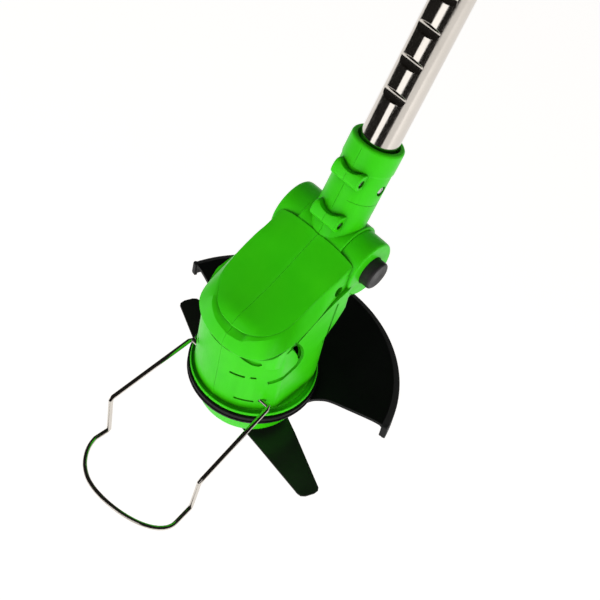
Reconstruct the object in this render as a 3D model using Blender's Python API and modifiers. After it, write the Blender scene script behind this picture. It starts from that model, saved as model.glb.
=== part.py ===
"""Cordless brush cutter, built as an assembly of separate pieces.

Metres, +Z up. The origin is the bottom of the blade bolt, on the motor's axis. +X is the
side of the tilt button, -Y is the front (the wire guard) and +Y is the user's side.
Sizes below are in millimetres. Three frames carry the pieces: the head frame stands on the
plane of the head's lip, the pole frame has its Z along the tube and starts beside the tilt
pivot, and both are empties that the pieces are parented to.
"""
import math

import bmesh
import bpy
from mathutils import Matrix, Vector

MM = 0.001

# Clearances and small fastener sizes shared by many pieces
GAP = 0.3
RUNNING_GAP = 0.5
PLAY = 2.0 * GAP
SCREW_SHANK = 1.5
SCREW_HEAD = 3.2
SCREW_HEAD_HEIGHT = 2.2
HOLE_SIDES = 8

# Motor can, which the head is built around
MOTOR_RADIUS = 18.0
MOTOR_BASE = 6.0
MOTOR_LENGTH = 56.0

# Head: the lip's plane is z = 0 in the head frame
LIP_HEIGHT = 46.0
LIP_RADIUS = 40.8
LIP_THICKNESS = 2.4
HEAD_RADIUS = 37.2
HEAD_WALL = 2.4
HEAD_FLOOR = 3.4
CREASE_BELOW_MOTOR_TOP = 10.0
CREASE_HEIGHT = MOTOR_BASE + MOTOR_LENGTH - CREASE_BELOW_MOTOR_TOP
DOME_RADIUS = 35.3
DOME_HALF_WIDTH = 31.0
DOME_BEVEL = 8.0
DOME_NOSE_RISE = 15.0
# The dome's slope from the nose to the ears: y and the rise above the crease
DOME_SLOPE = [(-30.0, 17.0), (-19.0, 19.3), (0.0, 27.5), (18.0, 37.4)]
BACK_DEPTH = 37.5
BACK_HALF_WIDTH = 32.5
BACK_CORNER = 12.0
PIVOT_Y = 52.2
PIVOT_RISE = 31.6
PIVOT_Z = CREASE_HEIGHT + PIVOT_RISE
# Vent slots in the head's wall: start and end angle from the front, centre height, height
VENT_SLOTS = [
    (13.0, 29.0, 32.0, 1.6),
    (34.0, 40.0, 33.0, 1.6),
    (22.0, 42.0, 8.4, 1.4),
    (68.0, 82.0, 40.0, 12.0),
    (-45.0, -31.0, 28.0, 1.6),
    (-82.0, -68.0, 40.0, 12.0),
]
# Screws between the halves of the head: y, z and the side that the head of each is on
HEAD_SCREWS = [(26.0, PIVOT_Z - 1.6, 1), (28.5, 22.0, -1), (28.5, 44.0, -1)]
HEAD_SCREW_SEAT = 14.0
HEAD_SCREW_LENGTH = 22.0
HEAD_BOSS_RADIUS = 4.6

# Tilt joint between the head's ears and the neck's barrel
EAR_FACE = 32.7
EAR_RADIUS = 19.5
EAR_BEVEL = 2.2
EAR_END_WALL = 3.4
SLOT_HALF_WIDTH = 18.0
SLOT_RADIUS = 21.5
SLOT_WALL = 2.5
PIVOT_BOSS_RADIUS = 9.0
PIVOT_BOSS_LENGTH = 8.0
BOSS_END = SLOT_HALF_WIDTH - PIVOT_BOSS_LENGTH - GAP
POLE_LEAN = 21.8

# Tilt button
BUTTON_RADIUS = 9.5
BUTTON_FACE = 39.6
BUTTON_TRAVEL = 5.0
BUTTON_FLANGE_RADIUS = 12.4
BUTTON_FLANGE = 4.0
BUTTON_HEX = 14.0
HEX_START = 9.0
BUTTON_SPRING_RADIUS = 5.0
SPRING_START = -3.5

# Motor
MOTOR_CAP_LENGTH = 6.0
MOTOR_CAP_RIM = 3.5
MOTOR_WALL = 1.2
MAGNET_THICKNESS = 3.0
ARMATURE_LENGTH = MOTOR_LENGTH - 26.0
TERMINAL_OFFSET = 11.5
SHAFT_RADIUS = 2.5
MOUNT_PLATE_RADIUS = BACK_HALF_WIDTH - HEAD_WALL - RUNNING_GAP
MOUNT_PLATE_THICKNESS = 2.0
PLATE_BASE = HEAD_FLOOR + GAP
MOTOR_SCREW_CIRCLE = 12.0
MOTOR_SCREW_SHANK = 1.4
MOTOR_SCREW_SEAT = 1.4
BEARING_RADIUS = 8.0
BEARING_HEIGHT = 3.6
BEARING_BASE = HEAD_FLOOR - BEARING_HEIGHT
CRADLE_HEIGHT = MOTOR_BASE + MOTOR_LENGTH - 14.0
CRADLE_THICKNESS = 2.5

# Guard
GUARD_RADIUS = 92.4
GUARD_CENTRE_Y = 6.0
GUARD_TOP = -7.5
GUARD_PLATE = 2.5
GUARD_SKIRT = 12.5
GUARD_SKIRT_WALL = 2.4
GUARD_END_ANGLE = 17.0
GUARD_END_WALL_LENGTH = 13.0
GUARD_FRONT = [(39.0, 2.0), (41.0, 11.0), (44.6, 16.4), (50.0, 20.6), (62.5, 25.4), (78.0, 31.0)]
COLLAR_RADIUS = 42.3
COLLAR_WALL = 2.3
COLLAR_FLANGE = 2.5
COLLAR_HEIGHT = 11.5
COLLAR_TOP = -LIP_THICKNESS / 2.0 - GAP
COLLAR_HOLE = 29.0
GUARD_SCREW_CIRCLE = 34.0

# Rotor
CUP_TOP = -9.0
CUP_TOP_RADIUS = 36.0
CUP_BOTTOM = -29.3
CUP_BOTTOM_RADIUS = 32.7
CUP_WALL = 2.2
CUP_HUB_TOP = -4.5
HUB_RADIUS = 9.0
BLADE_TOP = -35.0
BLADE_THICKNESS = 1.6
BLADE_LENGTH = 83.5
BLADE_TIP_HALF_WIDTH = 7.0
BLADE_CLIP = 5.0
BLADE_ROOT_HALF_WIDTH = 17.6
BLADE_ROOT = 10.0
BLADE_TILT = -16.7
BLADE_HOLE = 5.0
FLANGE_RADIUS = 14.0
WASHER_RADIUS = 11.0
WASHER_THICKNESS = 2.0
BOLT_ACROSS_FLATS = 15.6
BOLT_SOCKET = 3.0

# Wire guard: hinge line, then the bends of the right-hand half, x outwards
WIRE_RADIUS = 1.5
WIRE_HINGE_Y = -23.3
WIRE_HINGE_Z = 9.7
WIRE_PIN_INNER = 24.5
WIRE_BENDS = [(34.2, -23.3, 9.7), (39.5, -86.0, -2.8), (37.2, -87.5, -34.0), (39.5, -103.5, -33.5)]
WIRE_BOW_FRONT = -127.0
WIRE_BOW_Z = -28.0
WIRE_BEND_RADIUS = 3.0

# Pole frame: z runs up the tube, y = 0 is the tube's axis, the front is -Y
TUBE_OFFSET = 3.4
TUBE_RADIUS = 12.5
TUBE_WALL = 1.2
TUBE_START = 26.0
NOTCH_FIRST = 109.6
NOTCH_PITCH = 22.7
NOTCH_COUNT = 13
NOTCH_RADIUS = 3.1
NOTCH_DEPTH = 2.3
TUBE_BEYOND_LOCK = 66.0
NECK_RADIUS = 16.6
NECK_COLLAR_RADIUS = 17.2
NECK_COLLAR_START = 60.0
NECK_LENGTH = 76.0
NECK_MOUTH_RADIUS = 13.4
NECK_MOUTH_DEPTH = 3.0
LUG_RADIUS = 4.2
LUG_HALF_WIDTH = 10.5
LUG_Y = -17.0
LUG_HEIGHTS = (23.5, 54.5)
LUG_SCREW_SHANK = 1.2
TUBE_SCREW_HEIGHT = 49.5
BARREL_RADIUS = 21.2
BARREL_HALF_WIDTH = 17.7

# Leads: the motor's, which runs up the neck, and the coiled one that stretches in the handle
LEAD_X = -6.8
LEAD_RADIUS = 2.2
LEAD_BEND = -16.0
COIL_RADIUS = 6.5
COIL_BORE = 1.5

# Handle: the lock pin drops into the highest notch when the tube is all the way out
LOCK_HEIGHT = NOTCH_FIRST + (NOTCH_COUNT - 1) * NOTCH_PITCH
TUBE_TRAVEL = (NOTCH_COUNT - 1) * NOTCH_PITCH
TUBE_END = LOCK_HEIGHT + TUBE_BEYOND_LOCK
COIL_START = LOCK_HEIGHT - 20.0
HANDLE_MOUTH = LOCK_HEIGHT - 21.5
HANDLE_RADIUS = 20.5
HANDLE_WALL = 2.4
HANDLE_BORE = 17.6
MOUTH_WALL = 2.6
BORE_END = TUBE_END + TUBE_TRAVEL + 6.0
STOP_LENGTH = 2.5
GRIP_LENGTH = 140.0
GRIP_HALF_WIDTH = 17.5
GRIP_FRONT = -19.0
GRIP_BACK = 21.0
FOOT_START = BORE_END + GRIP_LENGTH
FOOT_LENGTH = 26.0
FOOT_HALF_WIDTH = 33.0
FOOT_FRONT = -28.0
FOOT_BACK = 36.0
FOOT_CORNER = 9.0
SLEEVE_THICKNESS = 1.6
SLEEVE_LOW = BORE_END + 74.0
SLEEVE_HIGH = FOOT_START - 14.0
GUIDE_LENGTH = 9.0
# Screws between the halves of the handle: y and height above the end of the bore
HANDLE_SCREWS = [(-13.2, 14.0), (14.5, 14.0), (14.0, 96.0)]
HANDLE_SCREW_SEAT = 8.0
HANDLE_PILOT = 8.0
HANDLE_BOSS_RADIUS = 4.8

# Lock lever over the notches
LEVER_HALF_WIDTH = 6.0
LEVER_TOP = -27.0
LEVER_BOTTOM = -22.5
LEVER_FRONT = 8.0
LEVER_HINGE = 22.0
LEVER_BACK = 48.0
LEVER_PIN_Y = -23.4
LEVER_PIN_RADIUS = 1.5
LEVER_PIN_HALF_LENGTH = 10.0
LEVER_HUB_RADIUS = 3.5
LOCK_PIN_HALF_WIDTH = 4.0
LOCK_PIN_THICKNESS = 3.2
LOCK_PIN_TIP = -11.0

# Trigger, switch and lock-off button
TRIGGER_START = BORE_END + 22.0
TRIGGER_HALF_WIDTH = 6.5
TRIGGER_LENGTH = 44.0
TRIGGER_INNER_Y = 14.5
TRIGGER_PIN_Y = 19.5
TRIGGER_PIN_Z = TRIGGER_START + 3.0
TRIGGER_PIN_HALF_LENGTH = 12.0
TRIGGER_PIN_RADIUS = 1.5
SWITCH_FRONT = -8.0
SWITCH_BACK = 4.0
SWITCH_HALF_WIDTH = 8.0
SWITCH_LOW = TRIGGER_START + 16.0
SWITCH_HIGH = TRIGGER_START + 46.0
LOCK_OFF_RADIUS = 5.0
LOCK_OFF_Z = BORE_END + 48.0
LOCK_OFF_FACE = 22.5
LOCK_OFF_SEAT = -GRIP_FRONT - HANDLE_WALL - GAP
LOCK_OFF_FLANGE = 1.8
LOCK_OFF_RIM = 1.6
SMALL_SPRING_RADIUS = 3.0

# Front handle and its clamp
CLAMP_ABOVE_LOCK = 110.0
CLAMP_HEIGHT = 24.0
CLAMP_WALL = 5.0
CLAMP_EAR = 8.0
CLAMP_EAR_DEPTH = 5.0
CLAMP_HUB_HALF_WIDTH = 11.0
LOOP_RADIUS = 7.5
LOOP_HALF_WIDTH = 58.0
LOOP_TANG_END = -56.0
LOOP_SHOULDER = -96.0
LOOP_TOP = -150.0
LOOP_CORNER = 24.0
LOOP_FOOT = 8.0
LOOP_EYE_RADIUS = 8.5
LOOP_BOLT_Y = -34.0
LOOP_BOLT_RADIUS = 3.0
KNOB_RADIUS = 14.0
KNOB_DEPTH = 14.0

# Battery
BATTERY_START = FOOT_START + FOOT_LENGTH + GAP
BATTERY_LENGTH = 82.0
BATTERY_LID = 14.0
BATTERY_WALL = 2.2
BATTERY_PLUG_DEPTH = 14.0
PLUG_CLEARANCE = 0.4
PLUG_WALL = 2.0
CELL_RADIUS = 9.1
CELL_LENGTH = 65.0
CELL_PLACES = [(-19.0, -4.0), (0.0, -4.0), (19.0, -4.0), (9.5, 15.0), (-9.5, 15.0)]
LID_SCREWS = [(27.0, -21.6), (-27.0, -21.6), (27.0, 29.6), (-27.0, 29.6)]
LID_BOSS_RADIUS = 4.4
TERMINAL_X = (-10.0, 0.0, 10.0)
LATCH_HALF_WIDTH = 9.0
LATCH_LOW = BATTERY_START + 8.0
LATCH_HIGH = BATTERY_START + 22.0
HOOK_LOW = BATTERY_START - BATTERY_PLUG_DEPTH + 2.5
HOOK_HEIGHT = 3.0
CATCH_RIB = 2.2

# Colours, as linear values, with roughness and metallic
GREEN = ((0.06, 0.55, 0.01), 0.35, 0.0)
BLACK_PLASTIC = ((0.012, 0.012, 0.012), 0.45, 0.0)
DARK_RUBBER = ((0.02, 0.02, 0.02), 0.8, 0.0)
CHROME = ((0.75, 0.74, 0.72), 0.08, 1.0)
STEEL = ((0.55, 0.55, 0.56), 0.3, 1.0)
BLADE_STEEL = ((0.05, 0.055, 0.05), 0.2, 1.0)
COPPER = ((0.75, 0.35, 0.2), 0.35, 1.0)
MAGNET = ((0.05, 0.05, 0.055), 0.6, 0.0)
CELL_WRAP = ((0.05, 0.25, 0.5), 0.4, 0.0)
CABLE = ((0.02, 0.02, 0.022), 0.5, 0.0)


for leftover in list(bpy.data.objects):
    bpy.data.objects.remove(leftover, do_unlink=True)

PARTS = bpy.data.collections.new("cordless_brush_cutter")
TOOLS = bpy.data.collections.new("cutters")
bpy.context.scene.collection.children.link(PARTS)
bpy.context.scene.collection.children.link(TOOLS)

# Turns a shape built along Z so that it lies along another axis
ALONG = {
    "X": Matrix(((0, 0, 1, 0), (1, 0, 0, 0), (0, 1, 0, 0), (0, 0, 0, 1))),
    "-X": Matrix(((0, 0, -1, 0), (-1, 0, 0, 0), (0, 1, 0, 0), (0, 0, 0, 1))),
    "Y": Matrix(((1, 0, 0, 0), (0, 0, 1, 0), (0, -1, 0, 0), (0, 0, 0, 1))),
    "-Y": Matrix(((1, 0, 0, 0), (0, 0, -1, 0), (0, 1, 0, 0), (0, 0, 0, 1))),
    "Z": Matrix.Identity(4),
    "-Z": Matrix(((1, 0, 0, 0), (0, -1, 0, 0), (0, 0, -1, 0), (0, 0, 0, 1))),
}


def metres(point):
    """A point in millimetres as a vector in metres."""
    return Vector(point) * MM


def frame(name, origin, lean=0.0, parent=None):
    """An empty at a place, leaning back about X by an angle in degrees."""
    empty = bpy.data.objects.new(name, None)
    PARTS.objects.link(empty)
    empty.parent = parent
    empty.location = metres(origin)
    empty.rotation_euler = (-math.radians(lean), 0.0, 0.0)
    return empty


def add_object(name, data, where, at=(0, 0, 0), axis="Z"):
    """Link an object to the parts, placed in its frame."""
    obj = bpy.data.objects.new(name, data)
    PARTS.objects.link(obj)
    obj.parent = where
    obj.matrix_basis = Matrix.Translation(metres(at)) @ ALONG[axis]
    return obj


def mesh_object(name, bm, where, at=(0, 0, 0), axis="Z"):
    """Turn a bmesh into an object with its faces pointing out."""
    bmesh.ops.recalc_face_normals(bm, faces=bm.faces)
    mesh = bpy.data.meshes.new(name)
    bm.to_mesh(mesh)
    bm.free()
    return add_object(name, mesh, where, at, axis)


def block(name, where, low, high):
    """A box between two corners."""
    bm = bmesh.new()
    bmesh.ops.create_cube(bm, size=1.0)
    size = metres(high) - metres(low)
    centre = (metres(high) + metres(low)) / 2.0
    bmesh.ops.scale(bm, vec=size, verts=bm.verts)
    bmesh.ops.translate(bm, vec=centre, verts=bm.verts)
    return mesh_object(name, bm, where)


def rod(name, where, radius, at, length, axis="Z", sides=24, end_radius=None):
    """A cylinder, or a cone, that starts at a point and runs along an axis."""
    bm = bmesh.new()
    top = radius if end_radius is None else end_radius
    bmesh.ops.create_cone(
        bm, cap_ends=True, segments=sides, radius1=radius * MM, radius2=top * MM, depth=length * MM
    )
    bmesh.ops.translate(bm, vec=metres((0, 0, length / 2.0)), verts=bm.verts)
    return mesh_object(name, bm, where, at, axis)


def signed_area(points):
    """Twice the area inside an outline, positive where it runs anticlockwise."""
    total = 0.0
    for (x1, y1), (x2, y2) in zip(points, points[1:] + points[:1]):
        total += x1 * y2 - x2 * y1
    return total


def turned(name, where, profile, at=(0, 0, 0), axis="Z", steps=24):
    """A turned piece from its (radius, height) outline, closed where it stays off the axis."""
    points = list(profile)
    if signed_area(points) > 0:
        points.reverse()
    on_axis = any(radius == 0 for radius, height in points)
    if on_axis:
        while not (points[0][0] == 0 and points[-1][0] == 0):
            points.append(points.pop(0))
    count = len(points)
    edges = [(i, i + 1) for i in range(count - 1)]
    if not on_axis:
        edges.append((count - 1, 0))
    mesh = bpy.data.meshes.new(name)
    mesh.from_pydata([metres((radius, 0, height)) for radius, height in points], edges, [])
    obj = add_object(name, mesh, where, at, axis)
    screw = obj.modifiers.new("Turn", "SCREW")
    screw.steps = steps
    screw.render_steps = steps
    screw.use_merge_vertices = True
    screw.merge_threshold = 0.00001
    return obj


def tube_profile(inner, outer, low, high):
    """The outline of a plain ring."""
    return [(outer, high), (outer, low), (inner, low), (inner, high)]


def baked(obj, name=None):
    """The object as its modifiers leave it, as a plain mesh in the same place."""
    bpy.context.view_layer.update()
    evaluated = obj.evaluated_get(bpy.context.evaluated_depsgraph_get())
    mesh = bpy.data.meshes.new_from_object(evaluated)
    bm = bmesh.new()
    bm.from_mesh(mesh)
    bmesh.ops.remove_doubles(bm, verts=bm.verts, dist=0.000001)
    bmesh.ops.recalc_face_normals(bm, faces=bm.faces)
    bm.to_mesh(mesh)
    bm.free()
    copy = bpy.data.objects.new(name or obj.name + "_solid", mesh)
    PARTS.objects.link(copy)
    copy.parent = obj.parent
    copy.matrix_basis = obj.matrix_basis.copy()
    for helper in [obj] + [m.object for m in obj.modifiers if m.type == "BOOLEAN"]:
        bpy.data.objects.remove(helper, do_unlink=True)
    return copy


def plate(name, where, outline, low, high, axis="Z"):
    """A flat outline as a slab between two heights along an axis."""
    curve = bpy.data.curves.new(name, "CURVE")
    curve.dimensions = "2D"
    curve.fill_mode = "BOTH"
    curve.extrude = (high - low) / 2.0 * MM
    spline = curve.splines.new("POLY")
    spline.points.add(len(outline) - 1)
    for point, (a, b) in zip(spline.points, outline):
        point.co = (a * MM, b * MM, 0.0, 1.0)
    spline.use_cyclic_u = True
    middle = ALONG[axis] @ Vector((0, 0, (low + high) / 2.0))
    return baked(add_object(name + "_outline", curve, where, middle, axis), name)


def loft(name, where, rings):
    """A closed skin over a stack of rings with the same number of points."""
    bm = bmesh.new()
    rows = [[bm.verts.new(metres(point)) for point in ring] for ring in rings]
    count = len(rows[0])
    for lower, upper in zip(rows, rows[1:]):
        for i in range(count):
            j = (i + 1) % count
            bm.faces.new((lower[i], lower[j], upper[j], upper[i]))
    bm.faces.new(list(reversed(rows[0])))
    bm.faces.new(rows[-1])
    return mesh_object(name, bm, where)


def wire(name, where, points, radius, resolution=2):
    """A round wire through points, with closed ends."""
    curve = bpy.data.curves.new(name, "CURVE")
    curve.dimensions = "3D"
    curve.bevel_depth = radius * MM
    curve.bevel_resolution = resolution
    curve.use_fill_caps = True
    spline = curve.splines.new("POLY")
    spline.points.add(len(points) - 1)
    for target, point in zip(spline.points, points):
        target.co = (*metres(point), 1.0)
    return add_object(name, curve, where)


def coil_spring(name, where, at, axis, radius, length, turns, wire_radius=0.4):
    """A compression spring that starts at a point and runs along an axis."""
    per_turn = 6
    steps = turns * per_turn
    points = []
    for i in range(steps + 1):
        angle = 2.0 * math.pi * i / per_turn
        height = wire_radius + (length - 2.0 * wire_radius) * i / steps
        points.append((radius * math.cos(angle), radius * math.sin(angle), height))
    obj = wire(name, where, points, wire_radius, resolution=0)
    obj.matrix_basis = Matrix.Translation(metres(at)) @ ALONG[axis]
    return obj


def put_origin(obj, at):
    """Move an object's origin to a point of its frame and leave its shape in place."""
    shift = obj.matrix_basis.inverted() @ metres(at)
    obj.data.transform(Matrix.Translation(-shift))
    obj.matrix_basis = obj.matrix_basis @ Matrix.Translation(shift)


def add_bevel(obj, width, segments):
    """Round the sharp edges of a solid."""
    bevel = obj.modifiers.new("Round", "BEVEL")
    bevel.width = width * MM
    bevel.segments = segments
    bevel.limit_method = "ANGLE"
    bevel.angle_limit = math.radians(50)


def combine(target, operation, helpers):
    """Add one Boolean modifier for each helper, and put the helpers away as cutters."""
    for helper in helpers:
        modifier = target.modifiers.new(helper.name, "BOOLEAN")
        modifier.operation = operation
        modifier.object = helper
        modifier.solver = "EXACT"
        helper.hide_render = True
        helper.display_type = "WIRE"
        if helper.name in PARTS.objects:
            PARTS.objects.unlink(helper)
            TOOLS.objects.link(helper)
    return target


def cut(target, *helpers):
    return combine(target, "DIFFERENCE", helpers)


def unite(target, *helpers):
    return combine(target, "UNION", helpers)


def keep_inside(target, *helpers):
    return combine(target, "INTERSECT", helpers)


def half(name, whole, side, reach=400.0):
    """The part of a solid on one side of the symmetry plane, as an object of its own."""
    piece = bpy.data.objects.new(name, whole.data.copy())
    PARTS.objects.link(piece)
    piece.parent = whole.parent
    piece.matrix_basis = whole.matrix_basis.copy()
    near = -side * reach
    far = side * GAP / 2.0
    low = (min(near, far), -reach, -reach)
    high = (max(near, far), reach, 3.0 * reach)
    return cut(piece, block(name + "_other_side", whole.parent, low, high))


def screws(name, where, length, places, head=SCREW_HEAD, shank=SCREW_SHANK):
    """Cap screws: each has its seat at a point and its head on that side of it."""
    height = SCREW_HEAD_HEIGHT
    profile = [(0, height), (head, height), (head, 0), (shank, 0), (shank, -length), (0, -length)]
    for index, (at, axis) in enumerate(places):
        paint(turned(f"{name}_{index + 1}", where, profile, at, axis, 8), STEEL)


def arc(centre, radius, start, end, count):
    """Points along an arc, with angles in degrees."""
    points = []
    for i in range(count + 1):
        angle = math.radians(start + (end - start) * i / count)
        points.append((centre[0] + radius * math.cos(angle), centre[1] + radius * math.sin(angle)))
    return points


def hexagon(across_flats):
    return arc((0, 0), across_flats / math.sqrt(3.0), 0, 300, 5)


def rounded_box(half_width, front, back, corner, steps=4):
    """The outline of a box with round corners."""
    right, left = half_width - corner, corner - half_width
    return (
        arc((right, back - corner), corner, 0, 90, steps)
        + arc((left, back - corner), corner, 90, 180, steps)
        + arc((left, front + corner), corner, 180, 270, steps)
        + arc((right, front + corner), corner, 270, 360, steps)
    )


def paint(obj, finish):
    """Give an object its own material."""
    colour, roughness, metallic = finish
    material = bpy.data.materials.new(obj.name)
    material.use_nodes = True
    shader = material.node_tree.nodes["Principled BSDF"]
    shader.inputs["Base Color"].default_value = (*colour, 1.0)
    shader.inputs["Roughness"].default_value = roughness
    shader.inputs["Metallic"].default_value = metallic
    obj.data.materials.clear()
    obj.data.materials.append(material)
    return obj


def inset_outline(outline, distance):
    """The outline moved inwards by a distance, corner by corner."""
    if signed_area(outline) < 0:
        outline = outline[::-1]
    moved = []
    for before, point, after in zip(outline[-1:] + outline[:-1], outline, outline[1:] + outline[:1]):
        here = Vector(point)
        coming = (here - Vector(before)).normalized()
        leaving = (Vector(after) - here).normalized()
        normal_in = Vector((-coming.y, coming.x))
        normal_out = Vector((-leaving.y, leaving.x))
        middle = (normal_in + normal_out).normalized()
        moved.append(tuple(here + middle * (distance / middle.dot(normal_in))))
    return moved


# Head: outer form, hollow and openings


def head_plan(radius, half_width, depth, corner):
    """Seen from above: round at the front, a box with round corners at the back."""
    front = math.degrees(math.acos(half_width / radius))
    return (
        arc((0, 0), radius, 180.0 + front, 360.0 - front, 12)
        + arc((half_width - corner, depth - corner), corner, 0, 90, 3)
        + arc((corner - half_width, depth - corner), corner, 90, 180, 3)
    )


def dome_side():
    """The dome seen from the side, as (y, z)."""
    behind = PIVOT_Y - 0.32 * EAR_RADIUS
    top = PIVOT_Z + 0.89 * EAR_RADIUS
    under = PIVOT_Z - 0.9 * EAR_RADIUS
    nose = -DOME_RADIUS - 1.0
    return (
        [(nose, CREASE_HEIGHT - 12.0), (nose, CREASE_HEIGHT + DOME_NOSE_RISE)]
        + [(y, CREASE_HEIGHT + rise) for y, rise in DOME_SLOPE]
        + [(behind, top), (behind, under), (BACK_DEPTH + 3.0, CREASE_HEIGHT + 1.0)]
        + [(BACK_DEPTH - 3.0, CREASE_HEIGHT - 12.0)]
    )


def head_solid(name, where, inset):
    """The head's outer form, or the hollow inside it when it is inset."""
    whole_plan = head_plan(HEAD_RADIUS, BACK_HALF_WIDTH, BACK_DEPTH, BACK_CORNER)
    plan = inset_outline(whole_plan, inset)
    base = HEAD_FLOOR if inset else -0.3 * LIP_THICKNESS
    wall = plate(name + "_wall", where, plan, base, CREASE_HEIGHT)
    width = DOME_HALF_WIDTH - inset
    side = inset_outline(dome_side(), inset)
    dome = plate(name + "_dome", where, side, -width, width, "X")
    add_bevel(dome, DOME_BEVEL - inset, 1 if inset else 2)
    reach = 2.0 * PIVOT_Z
    sides = 20 if inset else 28
    rounding = rod(name + "_nose", where, DOME_RADIUS - inset, (0, 0, 0), reach, sides=sides)
    behind = block(name + "_behind", where, (-width - 1, 0, 0), (width + 1, 80, reach))
    unite(rounding, behind)
    keep_inside(dome, baked(rounding))
    return unite(wall, dome)


def ear_rod(name, where, radius, start, length, sides=24):
    """A cylinder on the tilt joint's axis, in the head frame."""
    return rod(name, where, radius, (start, PIVOT_Y, PIVOT_Z), length, "X", sides)


def head_hollow(where):
    """The hollow of the head, less the walls, bosses and cradles that stand in it."""
    hollow = head_solid("head_hollow", where, HEAD_WALL)
    slot_wall = SLOT_HALF_WIDTH + SLOT_WALL
    keep = [
        ear_rod("slot_shield", where, SLOT_RADIUS + SLOT_WALL, -slot_wall, 2.0 * slot_wall, 20),
        ear_rod("ear_cores", where, EAR_RADIUS - 1.0, -EAR_FACE, 2.0 * EAR_FACE, 20),
    ]
    for index, (y, z, side) in enumerate(HEAD_SCREWS):
        boss = rod(f"head_boss_{index}", where, HEAD_BOSS_RADIUS, (-50, y, z), 100, "X", 10)
        keep.append(boss)
    ring = tube_profile(MOTOR_RADIUS + GAP, 60.0, CRADLE_HEIGHT, CRADLE_HEIGHT + CRADLE_THICKNESS)
    keep.append(turned("motor_cradle", where, ring, steps=20))
    cut(hollow, *keep)
    return baked(hollow)


def head_shells(where, pole):
    """Both halves of the motor housing, with bosses, ribs and openings."""
    outer = head_solid("head_outer", where, 0.0)
    lip_low = (0, 0, -LIP_THICKNESS / 2.0)
    lip = rod("head_lip", where, LIP_RADIUS, lip_low, LIP_THICKNESS, sides=36)
    ears = ear_rod("head_ears", where, EAR_RADIUS, -EAR_FACE, 2.0 * EAR_FACE, 28)
    add_bevel(ears, EAR_BEVEL, 2)
    unite(outer, lip, ears)
    cut(outer, head_hollow(where))

    slot = ear_rod("neck_slot", where, SLOT_RADIUS, -SLOT_HALF_WIDTH, 2.0 * SLOT_HALF_WIDTH, 28)
    stem = rod("stem_room", pole, NECK_RADIUS + RUNNING_GAP, (0, 0, 0), NECK_LENGTH, sides=24)
    half_width = LEAD_RADIUS + 1.8
    lead_room = block(
        "lead_room",
        where,
        (LEAD_X - half_width, PIVOT_Y - SLOT_RADIUS - 5.0, PIVOT_Z - 18.0),
        (LEAD_X + half_width, PIVOT_Y - 3.0, PIVOT_Z - 4.0),
    )
    bearing_seat = rod("bearing_seat", where, BEARING_RADIUS + GAP, (0, 0, BEARING_BASE), 10)
    bearing_hole = rod("bearing_hole", where, BEARING_RADIUS - 2.0, (0, 0, -10), 20)
    pin_at = (-50, WIRE_HINGE_Y, WIRE_HINGE_Z)
    pins = rod("wire_pin_holes", where, WIRE_RADIUS + GAP, pin_at, 100, "X", HOLE_SIDES)
    cut(outer, slot, stem, lead_room, bearing_seat, bearing_hole, pins)
    for index, place in enumerate(motor_screw_places()):
        at = (*place, MOTOR_SCREW_SEAT)
        cut(outer, rod(f"motor_screw_room_{index}", where, 3.2, at, 10, sides=HOLE_SIDES))
    for index, place in enumerate(guard_screw_places()):
        at = (*place, -10)
        length = 10 + HEAD_FLOOR - 0.8
        name = f"guard_screw_hole_{index}"
        cut(outer, rod(name, where, SCREW_SHANK + GAP, at, length, sides=HOLE_SIDES))
    whole = baked(outer, "head_whole")

    right = half("head_shell_right", whole, 1)
    left = half("head_shell_left", whole, -1)
    flange_room = ear_rod(
        "button_flange_room",
        where,
        BUTTON_FLANGE_RADIUS + GAP,
        SLOT_HALF_WIDTH - 1.0,
        EAR_FACE - EAR_END_WALL - SLOT_HALF_WIDTH + 1.0,
        28,
    )
    button_hole = ear_rod("button_hole", where, BUTTON_RADIUS + GAP, EAR_FACE - 10.0, 20.0, 28)
    cut(right, flange_room, button_hole)
    boss_start = -SLOT_HALF_WIDTH - 1.0
    boss_length = PIVOT_BOSS_LENGTH + 1.0
    unite(left, ear_rod("pivot_boss", where, PIVOT_BOSS_RADIUS, boss_start, boss_length))
    for index, (y, z, side) in enumerate(HEAD_SCREWS):
        near, far = (right, left) if side > 0 else (left, right)
        screw_holes(
            f"head_screw_{index}", where, near, far, side, (y, z), HEAD_SCREW_SEAT, HEAD_SCREW_LENGTH
        )
    for index, (start, end, z, height) in enumerate(VENT_SLOTS):
        shell = right if start > 0 else left
        cut(shell, vent_cutter(f"vent_{index}", where, start, end, z, height))
    bpy.data.objects.remove(whole, do_unlink=True)
    paint(right, GREEN)
    paint(left, GREEN)
    seat = HEAD_SCREW_SEAT + GAP
    places = [((side * seat, y, z), "X" if side > 0 else "-X") for y, z, side in HEAD_SCREWS]
    screws("head_screw", where, HEAD_SCREW_LENGTH, places)


def screw_holes(name, where, near, far, side, place, seat, length):
    """The recess and hole for a screw in one half, and its pilot hole in the other."""
    direction = "X" if side > 0 else "-X"
    y, z = place
    head = SCREW_HEAD + 0.4
    shank = SCREW_SHANK + GAP
    recess = rod(name + "_recess", where, head, (side * seat, y, z), 60, direction, HOLE_SIDES)
    through = rod(name + "_through", where, shank, (0, y, z), 60, direction, HOLE_SIDES)
    pilot_at = (-side * (length - seat + 1.0), y, z)
    pilot = rod(name + "_pilot", where, shank, pilot_at, 60, direction, HOLE_SIDES)
    cut(near, recess, through)
    cut(far, pilot)


def vent_cutter(name, where, start, end, height, tall):
    """A slot through the head's round wall between two angles."""
    first, last = start - 90.0, end - 90.0
    inner = arc((0, 0), HEAD_RADIUS - 6.0, first, last, 3)
    outer = arc((0, 0), HEAD_RADIUS + 6.0, last, first, 3)
    return plate(name, where, inner + outer, height - tall / 2.0, height + tall / 2.0)


def motor_screw_places():
    return [(side * MOTOR_SCREW_CIRCLE, 0.0) for side in (1, -1)]


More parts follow.
